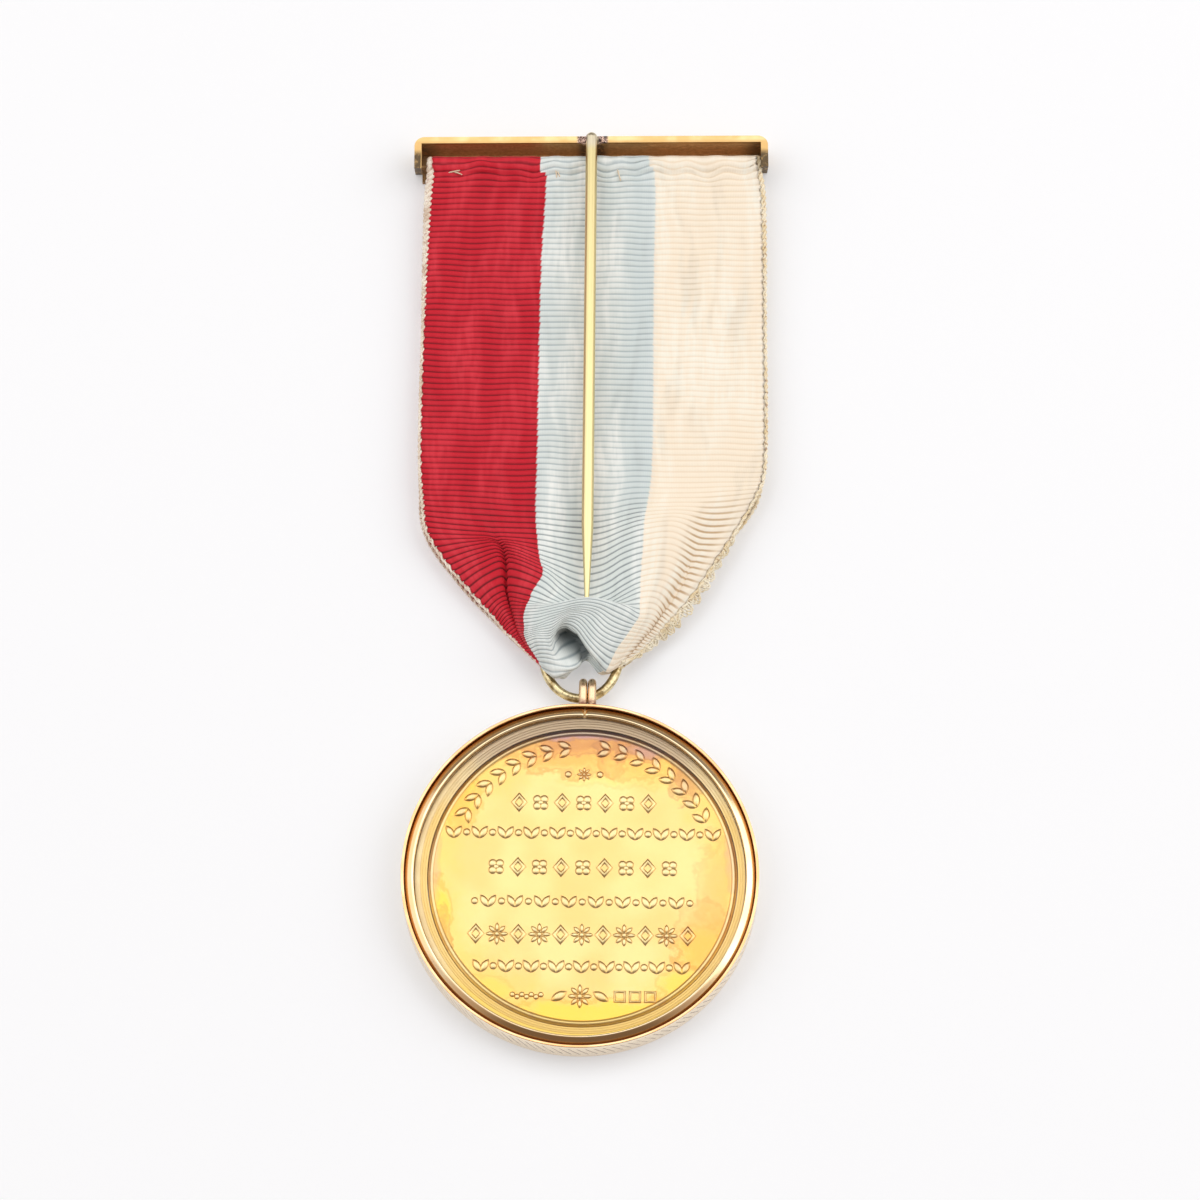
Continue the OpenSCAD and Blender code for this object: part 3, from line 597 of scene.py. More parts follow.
def pucker(length, share):
    """How far the cloth stands up or sinks next to the stitches."""
    near = from_rod(length)
    x = share * RIBBON_WIDTH
    wave = 0.09 * np.sin(x * 1.35 + 0.4) + 0.09 * np.sin(x * 2.3 + 1.7 + near * 1.5)
    return wave * np.exp(-((near - STITCH_AT) / PUCKER_REACH) ** 2)


def seam_lift(length):
    """How far the turned-in edge lifts the cloth's outer side."""
    near = from_rod(length)
    above_stitches = np.clip((STITCH_AT + SEAM_STEP / 2 - near) / SEAM_STEP, 0, 1)
    return SEAM_LIFT * above_stitches * np.clip((near + SEAM_END) / SEAM_END, 0, 1)


def rib_profile(phase):
    """Height of a rib over its groove, from 0 to 1."""
    return np.sin(phase * math.pi) ** 0.85


def ribbon_grid():
    """Middle surface, its outward side and weft, the ribs before each row and its place along."""
    rib = np.repeat(np.arange(RIBS), len(RIB_PHASES)) + np.tile(RIB_PHASES, RIBS)
    length = np.interp(rib / RIBS * CLOTH_LENGTH, cloth_run, run)[:, None]
    strayed = length + waver(length, column_share[None, :])
    column = np.broadcast_to(np.arange(len(column_share))[None, :], strayed.shape)
    middle = on_loop(strayed, column)
    weft = np.empty_like(middle)
    weft[:, 2:-2] = middle[:, 4:] - middle[:, :-4]
    weft[:, :2] = middle[:, 2:4] - middle[:, :1]
    weft[:, -2:] = middle[:, -1:] - middle[:, -4:-2]
    return middle, unit(np.cross(heading(strayed, column), weft)), unit(weft), rib, strayed


# The inner side has one column for this many of the outer side
INNER_EVERY = 6
# The cream stripe's ribs are flatter: shares of the width and of the ribs' height
RIB_DEPTH = [[0, 0.60, 0.72, 1], [1, 0.9, 0.52, 0.55]]


def edge_faces(rows, width, inner_width):
    """The strips of faces that join the outer and the inner grid along both edges."""
    row, after = np.arange(rows), (np.arange(rows) + 1) % rows
    inner, inner_after = rows * width + row * inner_width, rows * width + after * inner_width
    left = [row * width, inner, inner_after, after * width]
    right = [row * width + width - 1, after * width + width - 1,
             inner_after + inner_width - 1, inner + inner_width - 1]
    return np.concatenate([np.stack(left, axis=1), np.stack(right, axis=1)])


def add_cloth_coordinates(piece, faces, share, rib):
    """Gives each corner its share of the width and its ribs from the rod. A face that closes the
    loop counts on past the last rib."""
    corner_share, corner_rib = share[faces], rib[faces]
    wraps = np.ptp(corner_rib, axis=1, keepdims=True) > RIBS / 2
    corner_rib = np.where(wraps & (corner_rib < RIBS / 2), corner_rib + RIBS, corner_rib)
    cloth = piece.data.uv_layers.new(name="cloth")
    corners = np.stack([corner_share, corner_rib], axis=-1)
    cloth.uv.foreach_set("vector", corners.astype(np.float32).ravel())


def ribbon_piece(finish):
    middle, out, weft, rib, strayed = ribbon_grid()
    rows, width = middle.shape[:2]
    section = section_at(strayed)
    half = CLOTH_T * squeeze_at(section) / 2
    flat = np.interp(column_share, *RIB_DEPTH)[None, :] / crowd_at(section) ** 0.7
    ridge = RIB_HEIGHT * flat * (rib_profile(rib % 1)[:, None] - 0.5)
    thick = (half + ridge)[..., None]
    scallop = SCALLOP * np.cos(math.pi * rib)[:, None]
    middle = middle + out * pucker(strayed, column_share[None, :])[..., None]
    middle[:, 0] -= weft[:, 0] * scallop
    middle[:, -1] += weft[:, -1] * scallop
    inner_columns = np.arange(0, width, INNER_EVERY)
    inner_width = len(inner_columns)
    outer = middle + out * (thick + seam_lift(strayed)[..., None])
    inner = (middle - out * thick)[:, inner_columns]
    points = np.concatenate([outer.reshape(-1, 3), inner.reshape(-1, 3)])
    outer_faces = grid_faces(rows, width, closed_width=False)
    inner_faces = grid_faces(rows, inner_width, closed_width=False)[:, ::-1] + rows * width
    faces = np.concatenate([outer_faces, inner_faces, edge_faces(rows, width, inner_width)])
    piece = new_piece("ribbon_cloth", [(points, faces.tolist())], finish)
    share = np.concatenate([np.tile(column_share, rows), np.tile(column_share[inner_columns], rows)])
    rib_count = np.concatenate([np.repeat(rib, width), np.repeat(rib, inner_width)])
    add_cloth_coordinates(piece, faces, share, rib_count)
    return piece


# The stripes: groove, which is painted shade between the ribs, body, and watered highlight, which is
# painted sheen, of each
RED = [rgb(122, 8, 24), rgb(204, 24, 44), rgb(222, 54, 68)]
BLUE = [rgb(180, 191, 194), rgb(224, 231, 228), rgb(248, 250, 246)]
CREAM = [rgb(244, 224, 196), rgb(254, 239, 217), rgb(255, 248, 232)]
BLUE_SHADE = rgb(196, 210, 213)
# Painted shade: brown for the grooves on the right side's rolled edge, and dark for the hollow
FOLD_SHADE_BROWN = rgb(186, 146, 98)
HOLLOW_DARK = rgb(58, 70, 76)
STRIPE_1 = 0.333
STRIPE_2 = 0.667
STEP_AT_STITCH = 0.014
# The border's drift to the right above the gather and towards the bar, as shares of the width
DRIFT = 0.0045
DRIFT_AT_BAR = 0.006
# How much wider the blue stripe is above the gather
BLUE_SPREAD = 0.005
# The right part of the blue stripe, which is a little bluer, as shares of the width
BLUER = [0.56, 0.64]
# The ribs between which the gathered part's look sets in, and between which it ends
GATHER_LOOK = [[57.0, 64.0], [92.0, 104.0]]
# The shaded hollow over the ring: middle and half its width
HOLLOW = [-1.3, -7.9, 2.2]
# Warp threads are this far apart
WARP_PITCH = 0.17


def ribbon_finish():
    f = Finish("ribbon_cloth")
    share, rib, _ = f.parts(f.add("ShaderNodeUVMap", uv_map="cloth"))
    x, y, z = f.parts(f.place())
    phase = rib.frac()
    crown = (phase * math.pi).sin()
    length = rib * RIB_PITCH

    # the borders, which step at the stitches, drift on the way down and jag from rib to rib
    near_top = (length - STITCH_AT).step(0.1, -0.1)
    drift = length.step(46.0, 36.0) * DRIFT + length.step(14.0, 2.0) * DRIFT_AT_BAR
    jag = (phase - 0.5) * 0.003 + (f.noise(f.vector(0.0, rib.floor() * 7.3), 1.0, 0.0) - 0.5) * 0.006
    across = share + jag - drift + near_top * STEP_AT_STITCH
    red_blue = across.step(STRIPE_1 - 0.002, STRIPE_1 + 0.002)
    spread = across - length.step(46.0, 38.0) * BLUE_SPREAD
    blue_cream = spread.step(STRIPE_2 - 0.003, STRIPE_2 + 0.003)

    # how far down in the gathered part
    sets_in, ends = GATHER_LOOK
    low = rib.step(*sets_in) * rib.step(*ends[::-1])

    # painted sheen of the watering, in streaks along the ribbon broken into dashes from rib to rib, and
    # painted shade in darker streaks
    sway = f.noise(f.vector(share * 2.0, rib * 0.05), 1.0, 1.0) * 1.4
    water = f.noise(f.vector(share * 11.0 + sway, rib * 0.045), 1.0, 2.0, 0.6).step(0.36, 0.66)
    dash = f.noise(f.vector(share * 55.0, rib * 0.22), 1.0, 1.0).step(0.34, 0.66)
    bluer = share.step(*BLUER) * share.step(0.70, 0.66) * (1.0 - low)
    light = water * (dash * 0.5 + 0.5) * (1.0 - bluer * 0.7)
    shadow = f.noise(f.vector(share * 14.0 + sway, rib * 0.06 + 9.0), 1.0, 2.0, 0.6).step(0.50, 0.72)

    def striped(i):
        return f.mix(blue_cream, f.mix(red_blue, RED[i], BLUE[i]), CREAM[i])

    thread = (share * (RIBBON_WIDTH / WARP_PITCH * 2 * math.pi)).sin()
    body = f.times(f.mix(light, striped(1), striped(2)), thread * 0.02 + 1.0 - shadow * 0.07)
    # painted shade in the grooves between the ribs, lighter under the painted sheen, and darker in the
    # gathered part where the ribs crowd
    groove_shade = (1.0 - crown.step(0.02, 0.70)) * (1.0 - light * (0.45 - low * 0.3))
    body = f.mix(bluer * 0.3, body, f.times(BLUE_SHADE, 1.0 - shadow * 0.05))
    gather_groove_shade = low * (1.0 - blue_cream) * 0.36
    colour = f.mix(groove_shade, body, f.times(striped(0), 1.0 - shadow * 0.2 - gather_groove_shade))

    # painted shade: brown in the grooves on the right side's steep rolled edge, and dark in the hollow
    rolled_edge_shade = across.step(0.80, 0.86) * across.step(0.99, 0.92) * low
    middle_x, middle_y, half = HOLLOW
    hollow = (((x - middle_x) / half) ** 2.0 + ((y - middle_y) / half) ** 2.0).step(1.2, 0.6)
    colour = f.layers(
        colour,
        (rolled_edge_shade * (crown.step(0.75, 0.2) * 0.7 + 0.06), FOLD_SHADE_BROWN),
        (hollow * z.step(3.4, 2.0) * z.step(1.0, 1.2) * 0.8, HOLLOW_DARK))
    height = thread * 0.5 + f.noise(f.vector(share * 400.0, rib * 3.0), 1.0, 1.0)
    return f.surface(
        base_color=colour, roughness=0.62, specular_ior_level=0.25, sheen_weight=0.12,
        sheen_roughness=0.4, normal=f.bump(height, 0.012, 0.6))


# Threads: dark and light tone, colour of the flecks and their share
THREADS = {
    "left_thread": [rgb(216, 190, 166), rgb(252, 242, 226), rgb(170, 92, 84), 0.45],
    "right_thread": [rgb(238, 214, 168), rgb(252, 240, 214), rgb(158, 108, 60), 0.6],
    "picot_thread": [rgb(232, 214, 176), rgb(252, 244, 224), rgb(176, 132, 82), 0.35],
    "knot_thread": [rgb(214, 190, 160), rgb(248, 232, 206), rgb(200, 120, 104), 0.5],
}


def thread_finish(name):
    """Twisted thread, with flecks of another colour where it is worn or dyed."""
    dark, light, fleck, fleck_share = THREADS[name]
    f = Finish(name)
    place = f.place()
    fibre = f.noise(place, 9.0, 2.0)
    patch = f.noise(place, 0.6, 1.0)
    colour = f.layers(
        dark,
        ((fibre * 0.5 + patch * 0.5).step(0.35, 0.62), light),
        (f.noise(place, 2.6, 1.0).step(0.60, 0.68) * fleck_share, fleck))
    return f.surface(base_color=colour, roughness=0.75, specular_ior_level=0.25, sheen_weight=0.3,
                     normal=f.bump(fibre, 0.02, 0.7))


# The selvedges' cords: radius of a strand, how far it winds from the cord's middle, how far that
# middle is out of the edge, and points along a strand
CORD_R = 0.15
CORD_TURN = 0.13
CORD_OUT = 0.14
CORD_SAMPLES = 900
# The cord is bulkier next to the bar: how much more, and how far down
LEFT_BULK = [0.95, 15.0]
RIGHT_BULK = [0.35, 14.0]


def edge_line(column, side, length):
    """A selvedge's points, the way out of the ribbon there and the surface's normal."""
    index = np.full(len(length), column)
    line = on_loop(length, index)
    out = unit(line - on_loop(length, index + side * 3))
    return line, out, unit(np.cross(unit(heading(length, index, 0.4)), out))


def selvedge_piece(name, column, side, bulk, finish):
    """Two strands twisted round each other, one turn every two ribs."""
    more, reach = bulk
    length = np.arange(CORD_SAMPLES) / CORD_SAMPLES * LOOP_LENGTH
    line, out, normal = edge_line(column, side, length)
    squeeze = squeeze_at(section_at(length))
    down = np.where(length > LOOP_LENGTH / 2, LOOP_LENGTH - length + reach / 2, length)
    fat = squeeze * (1 + more * np.clip(1.3 - down / reach, 0, 1))
    turn = (np.interp(length, run, cloth_run) / RIB_PITCH * math.pi)[:, None]
    parts = []
    for start in (0, math.pi):
        path = line + out * (CORD_OUT + CORD_TURN * np.cos(turn + start)) * fat[:, None]
        path = path + normal * CORD_TURN * 0.8 * np.sin(turn + start) * squeeze[:, None]
        parts.append(tube(path, CORD_R * fat, closed=True))
    return new_piece(name, parts, finish)


# The loose loops of weft that stand out of the right selvedge where it is drawn in: first and
# last distance from the rod, and step
PICOTS = [44.5, 63.0, 0.19]
PICOT_REACH = 1.15
PICOT_R = 0.10
# How far down the ribbon a loop ends below its start, and how far it sags between
PICOT_SPAN = 0.84
PICOT_SAG = 0.45
PICOT_POINTS = 12


def picot_piece(column, finish):
    """Small loops of thread, each slanting down from the edge and back to it. The sines of their
    places make each differ a little from the next."""
    start, end, step = PICOTS
    length = np.arange(start, end, step)
    line, out, normal = edge_line(column, -1, length)
    ahead = unit(on_loop(length + 0.4, np.full(len(length), column)) - line)
    share = (length - start) / (end - start)
    reach = PICOT_REACH * (0.75 + 0.35 * np.sin(length * 5.3)) * (0.45 + 0.55 * np.sin(share * math.pi))
    sag = PICOT_SAG * (1 + 0.4 * np.sin(length * 3.1))
    tilt = 0.12 * np.sin(length * 7.7)
    bend = np.linspace(0, math.pi, PICOT_POINTS)[:, None]
    parts = []
    for i in range(len(length)):
        down = PICOT_SPAN / 2 * (1 - np.cos(bend)) + sag[i] * np.sin(bend)
        path = line[i] + out[i] * (0.1 + reach[i] * np.sin(bend)) + ahead[i] * down + normal[i] * tilt[i]
        parts.append(tube(path, PICOT_R, 5))
    return new_piece("right_picots", parts, finish)


# Hand stitches over the seam: share of the width, distance from the rod, length and slant in
# degrees from the ribs
STITCHES = [
    [0.066, 0.95, 1.3, -14],
    [0.078, 1.15, 0.9, 22],
    [0.372, 1.2, 1.0, 84],
    [0.383, 1.35, 0.8, 68],
    [0.572, 1.45, 1.35, 79],
]
STITCH_R = 0.075


def on_cloth(length, share):
    """Points of the ribbon's outer surface and its normal there."""
    last = len(column_share) - 1
    column = np.interp(share, column_share, np.arange(last + 1)).round().astype(int)
    weft = on_loop(length, np.minimum(column + 2, last)) - on_loop(length, np.maximum(column - 2, 0))
    normal = unit(np.cross(heading(length, column), weft))
    across = (share - column_share[column])[:, None] * RIBBON_WIDTH
    return on_loop(length, column) + unit(weft) * across + normal * CLOTH_T / 2, normal


def stitch_piece(finish):
    """Short threads that arch a little over the cloth."""
    t = np.linspace(-0.5, 0.5, 9)
    arch = 0.02 + 0.5 * (0.25 - t ** 2)
    parts = []
    for share, length, long, slant in STITCHES:
        turn = math.radians(slant)
        point, normal = on_cloth(length + t * long * math.sin(turn),
                                 share + t * long * math.cos(turn) / RIBBON_WIDTH)
        parts.append(tube(point + normal * arch[:, None], STITCH_R))
    return new_piece("seam_stitches", parts, finish)


# Metals. Points nearer to each other than this are one, edges flatter than the first angle go, and
# edges sharper than the second one are worn
SAME_POINT = 0.002
FLAT_EDGE = math.radians(0.4)
SHARP_EDGE = math.radians(32)


def worn_copy(node, name, width, finish):
    """The CAD node's own shape with its sharp edges rounded by wear."""
    mesh = nodes[node].data.copy()
    shape = bmesh.new()
    shape.from_mesh(mesh)
    bmesh.ops.remove_doubles(shape, verts=shape.verts, dist=SAME_POINT * MM)
    bmesh.ops.dissolve_limit(shape, angle_limit=FLAT_EDGE, verts=shape.verts, edges=shape.edges)
    shape.to_mesh(mesh)
    shape.free()
    mesh.name = name
    mesh.materials.clear()
    mesh.materials.append(finish)
    piece = linked(name, mesh)
    bevel = piece.modifiers.new("worn edges", "BEVEL")
    bevel.width = width * MM
    bevel.segments = 2
    bevel.limit_method = "ANGLE"
    bevel.angle_limit = SHARP_EDGE
    return piece


def dress(node, finish):
    mesh = nodes[node].data
    mesh.materials.clear()
    mesh.materials.append(finish)


def metal_piece(name, shapes, finish, slot, *replaced):
    piece = new_piece(name, shapes, finish)
    if replaced:
        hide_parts(*replaced)


def flipped(shape):
    """The same shape on the front of the case."""
    points, faces = shape
    points = points * [1, 1, -1] + [0, 0, CASE_H]
    return points, [face[::-1] for face in faces]


# The case: a band with a thin lip, the bail's two loops, and in each face a stepped seat and a
# split bezel with a rounded top. Outlines are radius and height. The bezel stands on the ledge,
# and the seat on the shelf below it.
LIP_IN = 18.67
LEDGE_Z = 2.74
LEDGE_IN = 17.62
SHELF_Z = 2.46
SHELF_IN = 16.80
SEAT_R = 17.0
BEZEL_OUT = 18.57
BEZEL_IN = 17.62
BEZEL_FOOT = 2.81
BEZEL_SLOPE = [[BEZEL_OUT, 3.20], [18.53, 3.28], [18.30, 3.42], [18.05, 3.54], [17.88, 3.63],
               [17.78, 3.66], [17.69, 3.64], [17.64, 3.58], [BEZEL_IN, 3.50]]
# Width of the bezel's split and its turn from the top, as angles
BEZEL_SPLIT = 0.22 / 18.0
BEZEL_SPLIT_AT = math.radians(0.8)
GLASS_R = 17.85
GLASS_TOP = 3.40

# The stepped seat's outline: radius, height and shift of its axis to the disc's
SEAT_STEPS = [
    [16.50, 2.48, DISC_X], [17.58, 2.48, 0], [17.58, 2.80, 0], [17.26, 2.80, DISC_X],
    [17.22, 2.72, DISC_X], [17.02, 2.71, DISC_X], [16.99, 2.64, DISC_X],
    [16.74, 2.63, DISC_X], [16.71, 2.56, DISC_X], [16.50, 2.55, DISC_X],
]


def band_shape():
    """The band: its side with broken edges, and the stepped inside of the back and the front."""
    side = [[CASE_R - 0.05, 0], [CASE_R, 0.06], [CASE_R, CASE_H - 0.06], [CASE_R - 0.05, CASE_H]]
    back = [[LIP_IN, CASE_H], [LIP_IN, LEDGE_Z], [LEDGE_IN, LEDGE_Z], [LEDGE_IN, SHELF_Z],
            [SHELF_IN, SHELF_Z]]
    front = [[radius, CASE_H - z] for radius, z in back[::-1]]
    return turned(eased(side + back + front, 0.07))


def seat_shape():
    return turned(eased(SEAT_STEPS, 0.03, 3))


def bezel_shape():
    outline = [[GLASS_R, BEZEL_FOOT], [BEZEL_OUT, BEZEL_FOOT], *BEZEL_SLOPE,
               [BEZEL_IN, GLASS_TOP - 0.005], [GLASS_R, GLASS_TOP]]
    points, faces = turned(outline, split=BEZEL_SPLIT)
    x, y = points[:, 0].copy(), points[:, 1] - CASE_Y
    points[:, 0] = x * math.cos(BEZEL_SPLIT_AT) + y * math.sin(BEZEL_SPLIT_AT)
    points[:, 1] = CASE_Y + y * math.cos(BEZEL_SPLIT_AT) - x * math.sin(BEZEL_SPLIT_AT)
    return points, faces


# The bail: middle between its loops, their distance, wire radius, bend radius and outer end, and
# how deep the wire starts in the band
BAIL_X = 0.5
BAIL_PITCH = 0.96
BAIL_R = 0.46
BAIL_BEND = 1.11
BAIL_ROOT_Y = CASE_Y + CASE_R
BAIL_TIP_Y = BAIL_ROOT_Y + 3.4
BAIL_SUNK = 0.22
# The solder at a loop's foot: how much it thickens the wire, and how far up
SOLDER_BULGE = 0.07
SOLDER_REACH = 0.5


def bail_loop(x):
    root, bend = BAIL_ROOT_Y - BAIL_SUNK, BAIL_TIP_Y - BAIL_R - BAIL_BEND
    legs = np.linspace(root, bend, 9)
    turns = np.radians(np.arange(10, 171, 10))
    side = [[x, y, CASE_H / 2 + BAIL_BEND] for y in legs]
    bow = [[x, bend + BAIL_BEND * math.sin(t), CASE_H / 2 + BAIL_BEND * math.cos(t)] for t in turns]
    path = side + bow + [[x, y, CASE_H / 2 - BAIL_BEND] for y in legs[::-1]]
    foot = np.array([max(0.0, 1 - (point[1] - root) / SOLDER_REACH) for point in path])
    return tube(path, BAIL_R + SOLDER_BULGE * foot ** 2, 20)


# The disc: relief on both faces is made of small cushions and ridges over its field. Its heights
# are the back field's and the middle plane's, and its rim is a ridge between two radii.
DISC_R = 16.45
FIELD_Z = 2.40
FACE_Z = 1.85
RELIEF = 0.14
RIM = [15.85, 16.20]


def ring_of(radius, sides=14):
    turns = np.arange(sides) * 2 * math.pi / sides
    return radius * np.stack([np.cos(turns), np.sin(turns)], axis=1)


def lens(radius, shift, steps=8):
    """The overlap of two circles whose middles are shifted to the left and to the right."""
    reach = math.acos(shift / radius)
    bend = np.linspace(-reach, reach, steps)[:-1]
    right = np.stack([radius * np.cos(bend) - shift, radius * np.sin(bend)], axis=1)
    return np.concatenate([right, -right])


def moved(form, x=0.0, y=0.0, turn=0.0, size=1.0):
    """A form is an outline and, for a frame, its inner outline."""
    c, s = math.cos(math.radians(turn)), math.sin(math.radians(turn))
    spin = np.array([[c, s], [-s, c]])
    return [outline @ spin * size + [x, y] for outline in form]


LEAF = [lens(0.66, 0.42)]
DIAMOND = np.array([[0.42, 0], [0.21, 0.25], [0, 0.5], [-0.21, 0.25], [-0.42, 0], [-0.21, -0.25],
                    [0, -0.5], [0.21, -0.25]])
SQUARE = np.array([[1, 0], [1, 1], [0, 1], [-1, 1], [-1, 0], [-1, -1], [0, -1], [1, -1]])
LEAVES = [moved(LEAF, 0.27, 0, -32), moved(LEAF, -0.27, 0, 32)]
PELLET = [[ring_of(0.25)]]
LOZENGE = [[DIAMOND, DIAMOND * 0.48]]
QUATREFOIL = [[ring_of(0.2) + 0.25 * np.array([math.cos(a), math.sin(a)])]
              for a in np.radians([45, 135, 225, 315])] + [[ring_of(0.14)]]
PETAL = [LEAF[0] * 0.42 + [0, 0.34]]
ROSETTE = [moved(PETAL, 0, 0, 45 * i) for i in range(8)] + [[ring_of(0.12)]]
CARTOUCHE = [[SQUARE * 0.625, SQUARE * 0.425]]

# Rows of relief: height of the row on the disc, half its length, height of the motifs, how many
# there are, the motif, and the motif that alternates with it
RELIEF_ROWS = [
    [11.4, 1.7, 1.4, 3, PELLET, ROSETTE],
    [8.2, 6.9, 2.1, 7, LOZENGE, QUATREFOIL],
    [4.8, 13.8, 1.5, 21, LEAVES, PELLET],
    [1.0, 9.2, 2.1, 9, QUATREFOIL, LOZENGE],
    [-2.8, 11.4, 1.45, 17, PELLET, LEAVES],
    [-6.4, 11.2, 2.15, 11, LOZENGE, ROSETTE],
    [-9.9, 10.6, 1.5, 17, LEAVES, PELLET],
]
# The foot of the back: height of the row, its middle and how far out the leaves are, and the first
# place, step and number of the staggered pellets and of the cartouches
FOOT_Y = -13.1
FOOT_X = -0.1
FOOT_LEAF = 2.2
FOOT_PELLETS = [-7.2, 0.5, 7]
FOOT_CARTOUCHES = [4.1, 1.6, 3]
# Motifs on circles: first angle, step, how many, radius and height
ARC_LEAVES = [8.5, 7.6, 8, 14.4, 1.6]
WREATH_LEAVES = [0, 12, 30, 12.4, 2.0]
WREATH_PELLETS = [15, 30, 12, 8.6, 2.2]


def placed(motif, x=0.0, y=0.0, turn=0.0, size=1.0):
    return [moved(form, x, y, turn, size) for form in motif]


def on_circle(motif, first, step, count, radius, size):
    """Motifs on a circle, their tops pointing along it."""
    forms = []
    for i in range(count):
        lying = placed(placed(motif, 0, 0, 90, size), 0, radius)
        forms += placed(lying, 0, 0, first + step * i)
    return forms


def back_relief():
    """Arcs of leaves at the top, the rows, and at the foot a rosette, pellets and cartouches."""
    forms = []
    for y, half, size, count, motif, other in RELIEF_ROWS:
        for i in range(count):
            x = -half + 2 * half * i / (count - 1)
            forms += placed(motif if i % 2 == 0 else other, x, y, 0, size)
    first, step, *rest = ARC_LEAVES
    for side in (-1, 1):
        forms += on_circle(LEAVES, side * first, side * step, *rest)
        forms += placed([LEAF], side * FOOT_LEAF + FOOT_X, FOOT_Y, side * 60, 1.8)
    forms += placed(ROSETTE, FOOT_X, FOOT_Y, 0, 2.3)
    first, step, count = FOOT_PELLETS
    for i in range(count):
        forms += placed(PELLET, first + step * i, FOOT_Y + (0.12 if i % 2 == 0 else -0.12), 0, 1.1)
    first, step, count = FOOT_CARTOUCHES
    for i in range(count):
        forms += placed(CARTOUCHE, first + step * i, FOOT_Y)
    return forms


def front_relief():
    """A wreath of leaves and a ring of pellets round a rosette."""
    return (placed(ROSETTE, 0, 0, 0, 11) + on_circle(LEAVES, *WREATH_LEAVES)
            + on_circle(PELLET, *WREATH_PELLETS))


# The rings of a cushion, by size and height, and of a ridge, by place on its width and height
CUSHION = [[1.16, -0.05], [1.0, 0.16], [0.84, 0.68], [0.6, 0.92], [0.3, 1.0]]
RIDGE = [[-0.16, -0.05], [0.0, 0.16], [0.2, 0.75], [0.5, 1.0], [0.8, 0.75], [1.0, 0.16], [1.16, -0.05]]


def relief_shape(form, height):
    """A cushion over an outline, or a ridge between two."""
    outer = form[0]
    count = len(outer)
    if len(form) == 1:
        middle = outer.mean(axis=0)
        rings = [[middle + (outer - middle) * share, level] for share, level in CUSHION]
    else:
        rings = [[outer + (form[1] - outer) * share, level] for share, level in RIDGE]
    points = [np.column_stack([ring, np.full(count, level * height)]) for ring, level in rings]
    faces = grid_faces(len(rings), count, False)[:, OTHER_WAY].tolist()
    if len(form) == 1:
        points.append([[*middle, height]])
        last = (len(rings) - 1) * count
        faces += [[last + k, last + (k + 1) % count, last + count] for k in range(count)]
    return np.concatenate(points), faces


def struck_shapes():
    """The disc's body, its rim on each face and the relief."""
    rim_in, rim_out = RIM
    back = [[DISC_R, FIELD_Z - 0.05], [DISC_R - 0.05, FIELD_Z], [rim_out + 0.02, FIELD_Z],
            [rim_out - 0.05, FIELD_Z + RELIEF], [rim_in + 0.05, FIELD_Z + RELIEF],
            [rim_in - 0.01, FIELD_Z], [rim_in - 0.2, FIELD_Z], [0, FIELD_Z]]
    outline = [[radius, CASE_H - z] for radius, z in back[::-1]] + back
    shapes = [turned(np.column_stack([outline, np.full(len(outline), DISC_X)]))]
    for forms, way, field in ((back_relief(), [1, 1, 1], FIELD_Z),
                              (front_relief(), [-1, 1, -1], CASE_H - FIELD_Z)):
        for form in forms:
            points, faces = relief_shape(form, RELIEF)
            shapes.append((points * way + [DISC_X, CASE_Y, field], faces))
    return shapes


# The metals' finishes

def distance(x, y):
    """How far a point is from an axis, given how far it is to its right and above it."""
    return (x * x + y * y) ** 0.5


def metal(name):
    """A new finish, the place on the surface and its parts, and fine handling marks."""
    f = Finish(name)
    place = f.place()
    x, y, z = f.parts(place)
    fine = f.noise(f.vector(x * 0.6 + y * 0.5, y * 9.0 - x * 2.0, z * 4.0), 1.0, 3.0, 0.6)
    cross = f.noise(f.vector(x * 8.0 + y * 3.0, y * 0.5, z * 4.0), 1.0, 3.0, 0.6)
    return f, place, x, y, z, fine * 0.5 + cross * 0.5


